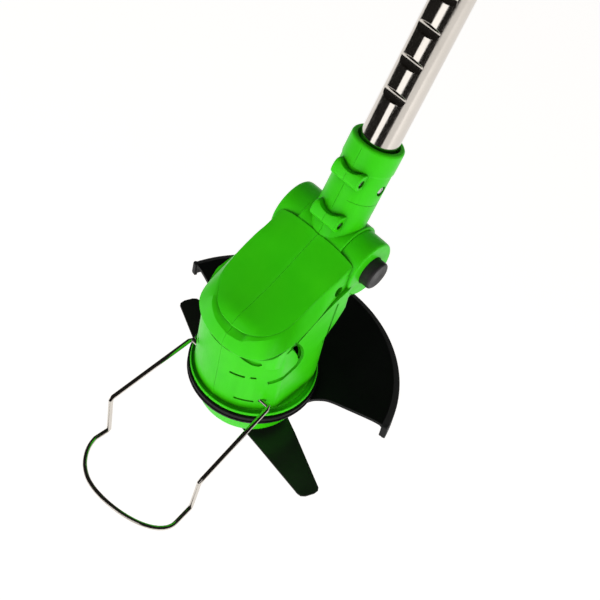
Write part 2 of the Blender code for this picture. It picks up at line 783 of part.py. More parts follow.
def guard_screw_places():
    return arc((0, 0), GUARD_SCREW_CIRCLE, 45, 315, 3)


# Motor and rotor


def motor(where):
    """The direct-current motor, its mount plate and the spindle's bearing."""
    base, top = MOTOR_BASE, MOTOR_BASE + MOTOR_LENGTH
    inner = MOTOR_RADIUS - MOTOR_WALL
    shaft_hole = SHAFT_RADIUS + RUNNING_GAP
    screw_hole = MOTOR_SCREW_SHANK + GAP
    can = turned(
        "motor_can",
        where,
        [
            (MOTOR_RADIUS, top),
            (MOTOR_RADIUS, base),
            (shaft_hole, base),
            (shaft_hole, base + 1.5),
            (inner, base + 1.5),
            (inner, top),
        ],
    )
    for index, (x, y) in enumerate(motor_screw_places()):
        hole = rod(f"can_hole_{index}", where, screw_hole, (x, y, base - 5), 10, sides=HOLE_SIDES)
        cut(can, hole)
    paint(can, STEEL)

    cap_low = top + GAP
    rim = cap_low + MOTOR_CAP_RIM
    cap = turned(
        "motor_end_cap",
        where,
        [
            (MOTOR_RADIUS - 0.2, rim),
            (MOTOR_RADIUS - 0.2, cap_low),
            (shaft_hole, cap_low),
            (shaft_hole, cap_low + MOTOR_CAP_LENGTH),
            (6.0, cap_low + MOTOR_CAP_LENGTH),
            (7.0, rim),
        ],
    )
    for side in (1, -1):
        y = side * TERMINAL_OFFSET
        tab = block(f"motor_tab_{side}", where, (-2.5, y - 0.4, rim - 1.0), (2.5, y + 0.4, rim + 5.0))
        unite(cap, tab)
    paint(cap, BLACK_PLASTIC)

    outer = inner - GAP
    outline = arc((0, 0), outer, -60, 60, 6) + arc((0, 0), outer - MAGNET_THICKNESS, 60, -60, 6)
    low = base + 12.0
    for name, turn in (("motor_magnet_right", 0.0), ("motor_magnet_left", math.pi)):
        magnet = plate(name, where, outline, low, low + ARMATURE_LENGTH + 6.0)
        magnet.matrix_basis = Matrix.Rotation(turn, 4, "Z") @ magnet.matrix_basis
        paint(magnet, MAGNET)

    ring_top = PLATE_BASE + MOUNT_PLATE_THICKNESS
    ring = tube_profile(BEARING_RADIUS - 2.0, MOUNT_PLATE_RADIUS, PLATE_BASE, ring_top)
    mount = turned("motor_mount_plate", where, ring)
    for index, (x, y) in enumerate(motor_screw_places()):
        cut(mount, rod(f"mount_hole_{index}", where, screw_hole, (x, y, 0), 10, sides=HOLE_SIDES))
    paint(mount, STEEL)
    ring = tube_profile(SHAFT_RADIUS + GAP, BEARING_RADIUS, BEARING_BASE + GAP, HEAD_FLOOR)
    paint(turned("spindle_bearing", where, ring), STEEL)


def rotor(where):
    """Everything that spins: armature, spindle, cup, blade and its fasteners."""
    shaft_top = MOTOR_BASE + MOTOR_LENGTH + MOTOR_CAP_LENGTH - 1.0
    shaft_bottom = -LIP_HEIGHT + BOLT_SOCKET
    length = shaft_top - shaft_bottom
    paint(rod("motor_shaft", where, SHAFT_RADIUS, (0, 0, shaft_bottom), length, sides=16), STEEL)
    hole = SHAFT_RADIUS + GAP
    low = MOTOR_BASE + 15.0
    high = low + ARMATURE_LENGTH
    core = MOTOR_RADIUS - MOTOR_WALL - MAGNET_THICKNESS - PLAY - RUNNING_GAP
    armature = turned(
        "motor_armature",
        where,
        [
            (7.0, high + 8.0),
            (7.0, high + 2.0),
            (core - 2.0, high + 2.0),
            (core, high),
            (core, low),
            (core - 2.0, low - 2.0),
            (hole, low - 2.0),
            (hole, high + 8.0),
        ],
        steps=20,
    )
    paint(armature, COPPER)

    cup = turned(
        "rotor_cup",
        where,
        [
            (CUP_TOP_RADIUS, CUP_TOP),
            (CUP_TOP_RADIUS, CUP_TOP - 4.0),
            (CUP_BOTTOM_RADIUS + 1.6, CUP_BOTTOM + 5.0),
            (CUP_BOTTOM_RADIUS, CUP_BOTTOM + 1.5),
            (CUP_BOTTOM_RADIUS - 2.0, CUP_BOTTOM),
            (hole, CUP_BOTTOM),
            (hole, CUP_HUB_TOP),
            (HUB_RADIUS, CUP_HUB_TOP),
            (HUB_RADIUS, CUP_BOTTOM + CUP_WALL),
            (CUP_BOTTOM_RADIUS - CUP_WALL, CUP_BOTTOM + CUP_WALL),
            (CUP_TOP_RADIUS - CUP_WALL, CUP_TOP),
        ],
        steps=28,
    )
    paint(cup, GREEN)
    ring = tube_profile(hole, FLANGE_RADIUS, BLADE_TOP + GAP, CUP_BOTTOM - GAP)
    paint(turned("blade_flange", where, ring), STEEL)
    paint(blade(where), BLADE_STEEL)
    washer_top = BLADE_TOP - BLADE_THICKNESS - GAP
    ring = tube_profile(hole, WASHER_RADIUS, washer_top - WASHER_THICKNESS, washer_top)
    paint(turned("blade_washer", where, ring), STEEL)
    bolt_top = washer_top - WASHER_THICKNESS - GAP
    bolt = plate("blade_bolt", where, hexagon(BOLT_ACROSS_FLATS), -LIP_HEIGHT, bolt_top)
    socket_at = (0, 0, shaft_bottom - GAP)
    cut(bolt, rod("bolt_socket", where, hole, socket_at, 20, sides=16))
    paint(bolt, STEEL)


def blade(where):
    """The two-armed blade: tapering arms with one clipped corner at each tip."""
    arm = [
        (BLADE_ROOT, BLADE_ROOT_HALF_WIDTH),
        (BLADE_LENGTH - 1.5, BLADE_TIP_HALF_WIDTH),
        (BLADE_LENGTH, BLADE_CLIP - BLADE_TIP_HALF_WIDTH),
        (BLADE_LENGTH - 4.0, -BLADE_TIP_HALF_WIDTH - 0.5),
        (BLADE_ROOT, -BLADE_ROOT_HALF_WIDTH),
    ]
    outline = arm[::-1] + [(-x, -y) for x, y in arm[::-1]]
    turn = Matrix.Rotation(math.radians(BLADE_TILT), 2)
    outline = [tuple(turn @ Vector(point)) for point in outline]
    piece = plate("cutter_blade", where, outline, BLADE_TOP - BLADE_THICKNESS, BLADE_TOP)
    return cut(piece, rod("blade_hole", where, BLADE_HOLE, (0, 0, BLADE_TOP - 10), 20))


# Guards


def guard(where):
    """The blade guard: a fan-shaped plate with a skirt, on a collar under the lip."""
    centre = (0.0, GUARD_CENTRE_Y)
    start, end = GUARD_END_ANGLE, 180.0 - GUARD_END_ANGLE
    rim = arc(centre, GUARD_RADIUS, start, end, 22)
    fan = GUARD_FRONT + rim + [(-x, y) for x, y in reversed(GUARD_FRONT)]
    body = plate("guard", where, fan, GUARD_TOP - GUARD_PLATE, GUARD_TOP)
    skirt_low = GUARD_TOP - GUARD_SKIRT
    inner = arc(centre, GUARD_RADIUS - GUARD_SKIRT_WALL, end, start, 22)
    skirt = plate("guard_skirt", where, rim + inner, skirt_low, GUARD_TOP - 0.5)
    ends = []
    for side in (1, -1):
        along = (Vector(GUARD_FRONT[-1]) - Vector(rim[0])).normalized()
        inward = Vector((along.y, -along.x))
        rim_end = Vector(rim[0]) + along * 0.4 + inward * 0.2
        across = inward * GUARD_SKIRT_WALL
        reach = rim_end + along * GUARD_END_WALL_LENGTH
        corners = [rim_end, reach, reach + across, rim_end + across]
        outline = [(side * corner.x, corner.y) for corner in corners]
        ends.append(plate(f"guard_end_{side}", where, outline, skirt_low + 1.0, GUARD_TOP - 0.6))
    low = COLLAR_TOP - COLLAR_HEIGHT
    collar = rod("guard_collar", where, COLLAR_RADIUS, (0, 0, low), COLLAR_HEIGHT, sides=36)
    unite(body, skirt, *ends, collar)
    room_height = COLLAR_HEIGHT - COLLAR_FLANGE + 10.0
    room_at = (0, 0, low - 10.0)
    room = rod("collar_room", where, COLLAR_RADIUS - COLLAR_WALL, room_at, room_height, sides=32)
    hole = rod("collar_hole", where, COLLAR_HOLE, (0, 0, low - 10.0), COLLAR_HEIGHT + 20.0)
    cut(body, room, hole)
    for index, place in enumerate(guard_screw_places()):
        at = (*place, COLLAR_TOP - 10.0)
        cut(body, rod(f"guard_hole_{index}", where, SCREW_SHANK + GAP, at, 20, sides=HOLE_SIDES))
    paint(body, BLACK_PLASTIC)


def wire_guard(where):
    """The sprung wire bow in front of the blade, hinged in the head's wall."""
    half_path = [(WIRE_PIN_INNER, WIRE_HINGE_Y, WIRE_HINGE_Z)] + WIRE_BENDS
    start = Vector(WIRE_BENDS[-1])
    bow = []
    for i in range(1, 9):
        angle = math.radians(90.0 * i / 8)
        x = start.x * math.cos(angle) + 1.6 * math.sin(2 * angle)
        y = start.y + (WIRE_BOW_FRONT - start.y) * math.sin(angle)
        z = start.z + (WIRE_BOW_Z - start.z) * math.sin(angle)
        bow.append((x, y, z))
    half_path += bow
    path = half_path + [(-x, y, z) for x, y, z in reversed(half_path[:-1])]
    bow = wire("wire_guard", where, rounded_path(path, WIRE_BEND_RADIUS), WIRE_RADIUS, 1)
    put_origin(bow, (0, WIRE_HINGE_Y, WIRE_HINGE_Z))
    paint(bow, CHROME)


def rounded_path(points, radius):
    """A path with its corners replaced by three points of a bend."""
    path = [Vector(points[0])]
    for before, point, after in zip(points, points[1:], points[2:]):
        corner = Vector(point)
        back = Vector(before) - corner
        ahead = Vector(after) - corner
        turn = math.pi - back.angle(ahead)
        if turn < math.radians(25):
            path.append(corner)
            continue
        reach = min(radius, back.length / 2.2, ahead.length / 2.2)
        first = corner + back.normalized() * reach
        last = corner + ahead.normalized() * reach
        path += [first, (first + last) / 4.0 + corner / 2.0, last]
    path.append(Vector(points[-1]))
    return [tuple(point) for point in path]


# Neck, tilt button and telescopic tube, in the pole frame


def neck(where):
    """Both halves of the neck: barrel between the ears, stem, collar and lugs."""
    stem = turned(
        "neck_stem",
        where,
        [
            (0, NECK_LENGTH),
            (NECK_COLLAR_RADIUS - 2.6, NECK_LENGTH),
            (NECK_COLLAR_RADIUS - 0.7, NECK_LENGTH - 1.2),
            (NECK_COLLAR_RADIUS, NECK_LENGTH - 3.4),
            (NECK_COLLAR_RADIUS, NECK_COLLAR_START),
            (NECK_RADIUS, NECK_COLLAR_START - 3.0),
            (NECK_RADIUS, 0),
            (0, 0),
        ],
    )
    width = 2.0 * BARREL_HALF_WIDTH
    barrel_at = (-BARREL_HALF_WIDTH, TUBE_OFFSET, 0)
    unite(stem, rod("neck_barrel", where, BARREL_RADIUS, barrel_at, width, "X", 24))
    for index, height in enumerate(LUG_HEIGHTS):
        at = (-LUG_HALF_WIDTH, LUG_Y, height)
        unite(stem, rod(f"neck_lug_{index}", where, LUG_RADIUS, at, 2.0 * LUG_HALF_WIDTH, "X", 14))
    socket = rod("tube_socket", where, TUBE_RADIUS + GAP, (0, 0, TUBE_START - GAP), 100)
    mouth_at = (0, 0, NECK_LENGTH - NECK_MOUTH_DEPTH)
    mouth = rod("neck_mouth", where, NECK_MOUTH_RADIUS, mouth_at, 20)
    reach = LEAD_RADIUS + 0.4
    lead_at = (LEAD_X, TUBE_OFFSET, LEAD_BEND)
    lead = rod("neck_lead_room", where, reach, lead_at, TUBE_START + 1 - LEAD_BEND, sides=12)
    channel = block(
        "neck_lead_channel",
        where,
        (LEAD_X - reach, -40, LEAD_BEND - reach),
        (LEAD_X + reach, TUBE_OFFSET + reach, LEAD_BEND + 2.0 * reach),
    )
    hex_low = HEX_START - BUTTON_TRAVEL - GAP
    hex_room = plate("hex_room", where, hexagon(BUTTON_HEX + PLAY), hex_low, 30, "X")
    hex_room.location.y += TUBE_OFFSET * MM
    spring_at = (SPRING_START, TUBE_OFFSET, 0)
    spring = rod("spring_room", where, BUTTON_SPRING_RADIUS + 1.0, spring_at, 20, "X", 16)
    boss_at = (-30, TUBE_OFFSET, 0)
    boss = rod("boss_room", where, PIVOT_BOSS_RADIUS + GAP, boss_at, 30 - BOSS_END, "X")
    seat = NECK_RADIUS - 2.6
    side_at = (seat, 0, TUBE_SCREW_HEIGHT)
    recess = rod("tube_screw_recess", where, SCREW_HEAD + 0.4, side_at, 20, "X", HOLE_SIDES)
    shank_at = (0, 0, TUBE_SCREW_HEIGHT)
    shank = rod("tube_screw_hole", where, SCREW_SHANK + GAP, shank_at, 30, "X", HOLE_SIDES)
    cut(stem, socket, mouth, lead, channel, hex_room, spring, boss, recess, shank)
    lug_seat = LUG_HALF_WIDTH - SCREW_HEAD_HEIGHT - 1.0
    for index, height in enumerate(LUG_HEIGHTS):
        recess = rod(f"lug_recess_{index}", where, 2.6, (lug_seat, LUG_Y, height), 20, "X", HOLE_SIDES)
        hole_at = (3.0 - LUG_HALF_WIDTH, LUG_Y, height)
        radius = LUG_SCREW_SHANK + GAP
        cut(stem, recess, rod(f"lug_hole_{index}", where, radius, hole_at, 40, "X", HOLE_SIDES))
    whole = baked(stem, "neck_whole")
    paint(half("neck_shell_right", whole, 1), GREEN)
    paint(half("neck_shell_left", whole, -1), GREEN)
    bpy.data.objects.remove(whole, do_unlink=True)

    places = [((lug_seat + GAP, LUG_Y, height), "X") for height in LUG_HEIGHTS]
    length = 2.0 * LUG_HALF_WIDTH - 7.0
    screws("neck_screw", where, length, places, head=2.3, shank=LUG_SCREW_SHANK)
    length = seat - TUBE_RADIUS + TUBE_WALL + 2.4
    screws("tube_screw", where, length, [((seat + GAP, 0, TUBE_SCREW_HEIGHT), "X")])


def pole_tube(where):
    """The chrome tube, with a row of pressed notches along its front, and its end bush."""
    length = TUBE_END - TUBE_START
    tube = rod("pole_tube", where, TUBE_RADIUS, (0, 0, TUBE_START), length)
    bore_at = (0, 0, TUBE_START - 5)
    bore = rod("tube_bore", where, TUBE_RADIUS - TUBE_WALL, bore_at, length + 10)
    notch_y = -TUBE_RADIUS + NOTCH_DEPTH - NOTCH_RADIUS
    pocket_half = 0.66 * TUBE_RADIUS
    notches = []
    for index in range(NOTCH_COUNT):
        height = NOTCH_FIRST + index * NOTCH_PITCH
        at = (-pocket_half, notch_y, height)
        radius = NOTCH_RADIUS + TUBE_WALL
        cut(bore, rod(f"pocket_{index}", where, radius, at, 2.0 * pocket_half, "X", 8))
        at = (-TUBE_RADIUS, notch_y, height)
        notches.append(rod(f"notch_{index}", where, NOTCH_RADIUS, at, 2 * TUBE_RADIUS, "X", 8))
    cut(tube, baked(bore), *notches)
    hole_at = (0, 0, TUBE_SCREW_HEIGHT)
    cut(tube, rod("tube_hole", where, SCREW_SHANK + GAP, hole_at, 30, "X", HOLE_SIDES))
    paint(tube, CHROME)
    plug = turned(
        "tube_end_bush",
        where,
        [
            (HANDLE_BORE - RUNNING_GAP, TUBE_END - 2.0),
            (HANDLE_BORE - RUNNING_GAP, TUBE_END - 14.0),
            (TUBE_RADIUS + GAP, TUBE_END - 14.0),
            (TUBE_RADIUS + GAP, TUBE_END + GAP),
            (COIL_RADIUS + 0.8, TUBE_END + GAP),
            (COIL_RADIUS + 0.8, TUBE_END + 2.5),
            (TUBE_RADIUS + 1.5, TUBE_END + 2.5),
        ],
        steps=20,
    )
    paint(plug, BLACK_PLASTIC)


def leads(head, pole):
    """The lead from the motor into the tube, and the stretching coil above it."""
    rim = MOTOR_BASE + MOTOR_LENGTH + GAP + MOTOR_CAP_RIM
    lean = math.radians(POLE_LEAN)
    pivot = Vector((0, PIVOT_Y, PIVOT_Z))
    up = Vector((0, math.sin(lean), math.cos(lean)))
    across = Vector((0, math.cos(lean), -math.sin(lean)))

    def in_head(x, y, z):
        """A pole-frame point as a head-frame point."""
        return tuple(pivot + Vector((x, 0, 0)) + across * (y - TUBE_OFFSET) + up * z)

    tab_side = -2.5 - GAP
    route = [
        (tab_side, TERMINAL_OFFSET, rim + 3.4),
        (LEAD_X, TERMINAL_OFFSET, rim + 3.4),
        (LEAD_X, 20.0, rim + 6.0),
        in_head(LEAD_X, -14.0, LEAD_BEND),
        in_head(LEAD_X, TUBE_OFFSET, LEAD_BEND),
        in_head(LEAD_X, TUBE_OFFSET, TUBE_START + 3.0),
        in_head(LEAD_X + 1.0, 1.5, TUBE_START + 18.0),
        in_head(0, 0, TUBE_START + 40.0),
        in_head(0, 0, COIL_START - GAP),
    ]
    lead = baked(wire("motor_lead_core", head, rounded_path(route, 5.0), LEAD_RADIUS, 1), "motor_lead")
    branch = [
        (tab_side, -TERMINAL_OFFSET, rim + 4.2),
        (LEAD_X, -TERMINAL_OFFSET, rim + 4.2),
        (LEAD_X, TERMINAL_OFFSET, rim + 4.2),
    ]
    unite(lead, baked(wire("motor_lead_branch", head, rounded_path(branch, 3.0), 1.1, 0)))
    paint(lead, CABLE)
    coil = tube_profile(COIL_BORE, COIL_RADIUS, COIL_START, BORE_END + STOP_LENGTH)
    paint(turned("stretch_lead", pole, coil, steps=16), CABLE)


def tilt_button(where):
    """The push button in the right ear, with a hexagonal shank in the neck."""
    flange_top = EAR_FACE - EAR_END_WALL - GAP
    flange_low = flange_top - BUTTON_FLANGE
    button = turned(
        "tilt_button",
        where,
        [
            (0, BUTTON_FACE),
            (BUTTON_RADIUS - 0.8, BUTTON_FACE),
            (BUTTON_RADIUS, BUTTON_FACE - 0.8),
            (BUTTON_RADIUS, flange_top),
            (BUTTON_FLANGE_RADIUS, flange_top),
            (BUTTON_FLANGE_RADIUS, flange_low),
            (0, flange_low),
        ],
        at=(0, TUBE_OFFSET, 0),
        axis="X",
    )
    shank = plate("button_shank", where, hexagon(BUTTON_HEX), HEX_START, flange_low + 1.0, "X")
    shank.location.y += TUBE_OFFSET * MM
    unite(button, shank)
    paint(button, BLACK_PLASTIC)
    start = SPRING_START + GAP
    length = HEX_START - GAP - start
    at = (start, TUBE_OFFSET, 0)
    spring = coil_spring("tilt_button_spring", where, at, "X", BUTTON_SPRING_RADIUS, length, 4, 0.5)
    paint(spring, STEEL)


# Handle, in the pole frame


def handle_stations():
    """Up the handle: height, half width, front, back and corner radius."""
    grip = BORE_END + 16.0
    lock_low = LOCK_HEIGHT - LEVER_FRONT - 5.0
    lock_high = LOCK_HEIGHT + LEVER_BACK + 7.0
    cheek = LEVER_TOP - 1.5
    r = HANDLE_RADIUS
    return [
        (HANDLE_MOUTH, r - 0.8, -r + 0.8, r - 0.8, r - 0.9),
        (HANDLE_MOUTH + 4.0, r, -r, r, r - 0.1),
        (lock_low - 4.0, r, -r, r, r - 0.1),
        (lock_low, r, cheek, r, 10.0),
        (lock_high, r, cheek, r, 10.0),
        (lock_high + 8.0, r, -r, r, r - 0.1),
        (BORE_END - 18.0, r, -r, r, r - 0.1),
        (grip, GRIP_HALF_WIDTH + 1.0, GRIP_FRONT, GRIP_BACK + 3.0, 15.0),
        (grip + 45.0, GRIP_HALF_WIDTH, GRIP_FRONT, GRIP_BACK + 1.0, 14.0),
        (FOOT_START - 42.0, GRIP_HALF_WIDTH, GRIP_FRONT, GRIP_BACK, 14.0),
        (FOOT_START - 12.0, GRIP_HALF_WIDTH + 3.5, GRIP_FRONT - 2.0, GRIP_BACK + 4.0, 14.0),
        (FOOT_START + 2.0, FOOT_HALF_WIDTH - 1.0, FOOT_FRONT + 1.0, FOOT_BACK - 1.0, 11.0),
        (FOOT_START + 6.0, FOOT_HALF_WIDTH, FOOT_FRONT, FOOT_BACK, FOOT_CORNER),
        (FOOT_START + FOOT_LENGTH, FOOT_HALF_WIDTH, FOOT_FRONT, FOOT_BACK, FOOT_CORNER),
    ]


def station_at(height):
    """The handle's outline values at any height, between the two stations around it."""
    stations = handle_stations()
    for lower, upper in zip(stations, stations[1:]):
        if lower[0] <= height <= upper[0]:
            share = (height - lower[0]) / (upper[0] - lower[0])
            return tuple(a + (b - a) * share for a, b in zip(lower, upper))
    return stations[-1]


def section_ring(station, inset, lift=0.0):
    """One outline of the handle, moved inwards, as points at its height."""
    height, half_width, front, back, corner = station
    corner = max(corner - inset, 0.5)
    outline = rounded_box(half_width - inset, front + inset, back - inset, corner, 3)
    return [(x, y, height + lift) for x, y in outline]


def handle_stretch(inset, low, high, overrun=0.0):
    """The handle's outlines between two heights, run past both by a distance."""
    inside = [station for station in handle_stations() if low < station[0] < high]
    first = section_ring(station_at(low), inset, -overrun)
    last = section_ring(station_at(high), inset, overrun)
    return [first] + [section_ring(station, inset) for station in inside] + [last]


def handle_screw_places():
    return [(y, BORE_END + height) for y, height in HANDLE_SCREWS]


def handle_shells(where):
    """Both halves of the long handle, with the tube's bore and the battery's foot."""
    outer = loft("handle_outer", where, [section_ring(station, 0.0) for station in handle_stations()])
    end = FOOT_START + FOOT_LENGTH
    rings = handle_stretch(HANDLE_WALL, BORE_END + STOP_LENGTH, end)
    rings[-1] = [(x, y, end + 5.0) for x, y, z in rings[-1]]
    hollow = loft("handle_hollow", where, rings)
    for index, (y, z) in enumerate(handle_screw_places()):
        at = (-60, y, z)
        cut(hollow, rod(f"handle_boss_{index}", where, HANDLE_BOSS_RADIUS, at, 120, "X", 8))
    cut(outer, baked(hollow))
    stop_at = (0, 0, BORE_END - 1.0)
    stop_hole = rod("stop_hole", where, COIL_RADIUS + 0.8, stop_at, STOP_LENGTH + 5.0, sides=16)
    mouth_at = (0, 0, HANDLE_MOUTH - 5)
    mouth = rod("handle_mouth_hole", where, TUBE_RADIUS + RUNNING_GAP, mouth_at, 20)
    bore_low = HANDLE_MOUTH + MOUTH_WALL
    bore = rod("handle_bore", where, HANDLE_BORE, (0, 0, bore_low), BORE_END - bore_low)
    side = LEVER_HALF_WIDTH + RUNNING_GAP
    lever = block(
        "lever_window",
        where,
        (-side, -60, LOCK_HEIGHT - LEVER_FRONT - 2.0),
        (side, 0, LOCK_HEIGHT + LEVER_BACK + 1.0),
    )
    reach = LEVER_PIN_HALF_LENGTH + GAP
    pin_at = (-reach, LEVER_PIN_Y, LOCK_HEIGHT + LEVER_HINGE)
    pin = rod("lever_pin_hole", where, LEVER_PIN_RADIUS + GAP, pin_at, 2 * reach, "X", HOLE_SIDES)
    side = TRIGGER_HALF_WIDTH + RUNNING_GAP
    trigger = block(
        "trigger_window",
        where,
        (-side, 8.0, TRIGGER_START - 1.0),
        (side, 60.0, TRIGGER_START + TRIGGER_LENGTH + 1.5),
    )
    reach = TRIGGER_PIN_HALF_LENGTH + GAP
    pin_at = (-reach, TRIGGER_PIN_Y, TRIGGER_PIN_Z)
    radius = TRIGGER_PIN_RADIUS + GAP
    trigger_pin = rod("trigger_pin_hole", where, radius, pin_at, 2 * reach, "X", HOLE_SIDES)
    lock_off = rod("lock_off_hole", where, LOCK_OFF_RADIUS + GAP, (0, 0, LOCK_OFF_Z), 60, "-Y", 20)
    radius = LOCK_OFF_RADIUS + LOCK_OFF_RIM + RUNNING_GAP
    flange_at = (0, 0, LOCK_OFF_Z)
    flange_room = rod("lock_off_room", where, radius, flange_at, LOCK_OFF_SEAT + GAP, "-Y", 20)
    catch_low = HOOK_LOW + HOOK_HEIGHT + GAP
    pocket = hook_slot("catch_pocket", where, HOOK_LOW - 0.5, catch_low)
    channel = hook_slot("catch_channel", where, catch_low + CATCH_RIB, end + 5.0)
    cut(outer, mouth, bore, stop_hole, lever, pin, trigger, trigger_pin, lock_off)
    cut(outer, flange_room, pocket, channel)
    whole = baked(outer, "handle_whole")
    right = half("handle_shell_right", whole, 1, 900.0)
    left = half("handle_shell_left", whole, -1, 900.0)
    length = HANDLE_SCREW_SEAT + HANDLE_PILOT - 1.0
    for index, place in enumerate(handle_screw_places()):
        name = f"handle_screw_{index}"
        screw_holes(name, where, right, left, 1, place, HANDLE_SCREW_SEAT, length)
    bpy.data.objects.remove(whole, do_unlink=True)
    paint(right, GREEN)
    paint(left, GREEN)
    places = [((HANDLE_SCREW_SEAT + GAP, y, z), "X") for y, z in handle_screw_places()]
    screws("handle_screw", where, length, places)

    low = bore_low + GAP
    bush = tube_profile(TUBE_RADIUS + GAP, HANDLE_BORE - GAP, low, low + GUIDE_LENGTH)
    paint(turned("tube_guide_bush", where, bush), BLACK_PLASTIC)


def hook_slot(name, where, low, high):
    """Room for the battery latch's hook in the inner side of the foot's front wall."""
    return block(name, where, (-5.5, FOOT_FRONT + 0.6, low), (5.5, FOOT_FRONT + 6.0, high))


def lock_lever(where):
    """The lever whose tooth drops into the tube's notches, with its pin and spring."""
    hinge = LOCK_HEIGHT + LEVER_HINGE
    lever = block(
        "lock_lever",
        where,
        (-LEVER_HALF_WIDTH, LEVER_TOP, LOCK_HEIGHT - LEVER_FRONT),
        (LEVER_HALF_WIDTH, LEVER_BOTTOM, LOCK_HEIGHT + LEVER_BACK),
    )
    half_thick = LOCK_PIN_THICKNESS / 2.0
    tooth = block(
        "lock_tooth",
        where,
        (-LOCK_PIN_HALF_WIDTH, LEVER_BOTTOM - 1.0, LOCK_HEIGHT - half_thick),
        (LOCK_PIN_HALF_WIDTH, LOCK_PIN_TIP, LOCK_HEIGHT + half_thick),
    )
    inner = LEVER_HALF_WIDTH - 0.1
    hub = rod("lever_hub", where, LEVER_HUB_RADIUS, (-inner, LEVER_PIN_Y, hinge), 2 * inner, "X", 16)
    unite(lever, tooth, hub)
    hole_at = (-20, LEVER_PIN_Y, hinge)
    hole = rod("lever_hole", where, LEVER_PIN_RADIUS + GAP, hole_at, 40, "X", HOLE_SIDES)
    coil_room = block("coil_room", where, (-2.2, LEVER_TOP + 0.7, hinge - 3.2), (2.2, -10, hinge + 3.2))
    cut(lever, hole, coil_room)
    put_origin(lever, (0, LEVER_PIN_Y, hinge))
    paint(lever, BLACK_PLASTIC)
    pin_at = (-LEVER_PIN_HALF_LENGTH, LEVER_PIN_Y, hinge)
    length = 2.0 * LEVER_PIN_HALF_LENGTH
    paint(rod("lock_lever_pin", where, LEVER_PIN_RADIUS, pin_at, length, "X", 12), STEEL)
    radius = LEVER_PIN_RADIUS + 0.8
    spring = coil_spring("lock_lever_spring", where, (-1.9, LEVER_PIN_Y, hinge), "X", radius, 3.8, 3)
    paint(spring, STEEL)


def trigger_and_switch(where):
    """The trigger on its pin, the switch that it works and the lock-off button."""
    side = [
        (17.0, 0.0),
        (23.5, 0.0),
        (27.5, 7.0),
        (30.0, 19.0),
        (29.5, 33.0),
        (26.0, TRIGGER_LENGTH),
        (TRIGGER_INNER_Y, TRIGGER_LENGTH),
        (TRIGGER_INNER_Y, 30.0),
        (17.0, 8.0),
    ]
    outline = [(y, z + TRIGGER_START) for y, z in side]
    trigger = plate("trigger", where, outline, -TRIGGER_HALF_WIDTH, TRIGGER_HALF_WIDTH, "X")
    hole_at = (-20, TRIGGER_PIN_Y, TRIGGER_PIN_Z)
    cut(trigger, rod("trigger_hole", where, TRIGGER_PIN_RADIUS + GAP, hole_at, 40, "X", HOLE_SIDES))
    put_origin(trigger, (0, TRIGGER_PIN_Y, TRIGGER_PIN_Z))
    paint(trigger, BLACK_PLASTIC)
    pin_at = (-TRIGGER_PIN_HALF_LENGTH, TRIGGER_PIN_Y, TRIGGER_PIN_Z)
    length = 2.0 * TRIGGER_PIN_HALF_LENGTH
    paint(rod("trigger_pin", where, TRIGGER_PIN_RADIUS, pin_at, length, "X", 12), STEEL)
    spring_at = (0, SWITCH_BACK + GAP, TRIGGER_START + 36.0)
    length = TRIGGER_INNER_Y - SWITCH_BACK - PLAY
    spring = coil_spring("trigger_spring", where, spring_at, "Y", SMALL_SPRING_RADIUS, length, 4)
    paint(spring, STEEL)

    switch = block(
        "main_switch",
        where,
        (-SWITCH_HALF_WIDTH, SWITCH_FRONT, SWITCH_LOW),
        (SWITCH_HALF_WIDTH, SWITCH_BACK, SWITCH_HIGH),
    )
    middle = (SWITCH_LOW + SWITCH_HIGH) / 2.0
    wing = station_at(middle)[1] - HANDLE_WALL - GAP
    wings = block("switch_wings", where, (-wing, -5.0, middle - 2.0), (wing, -1.0, middle + 2.0))
    unite(switch, wings)
    paint(switch, BLACK_PLASTIC)

    flange_low = LOCK_OFF_SEAT - LOCK_OFF_FLANGE
    button = turned(
        "lock_off_button",
        where,
        [
            (0, LOCK_OFF_FACE),
            (LOCK_OFF_RADIUS - 0.6, LOCK_OFF_FACE),
            (LOCK_OFF_RADIUS, LOCK_OFF_FACE - 0.6),
            (LOCK_OFF_RADIUS, LOCK_OFF_SEAT),
            (LOCK_OFF_RADIUS + LOCK_OFF_RIM, LOCK_OFF_SEAT),
            (LOCK_OFF_RADIUS + LOCK_OFF_RIM, flange_low),
            (0, flange_low),
        ],
        at=(0, 0, LOCK_OFF_Z),
        axis="-Y",
        steps=20,
    )
    paint(button, BLACK_PLASTIC)
    spring_at = (0, SWITCH_FRONT - GAP, LOCK_OFF_Z)
    length = flange_low + SWITCH_FRONT - PLAY
    spring = coil_spring("lock_off_spring", where, spring_at, "-Y", SMALL_SPRING_RADIUS, length, 3)
    paint(spring, STEEL)


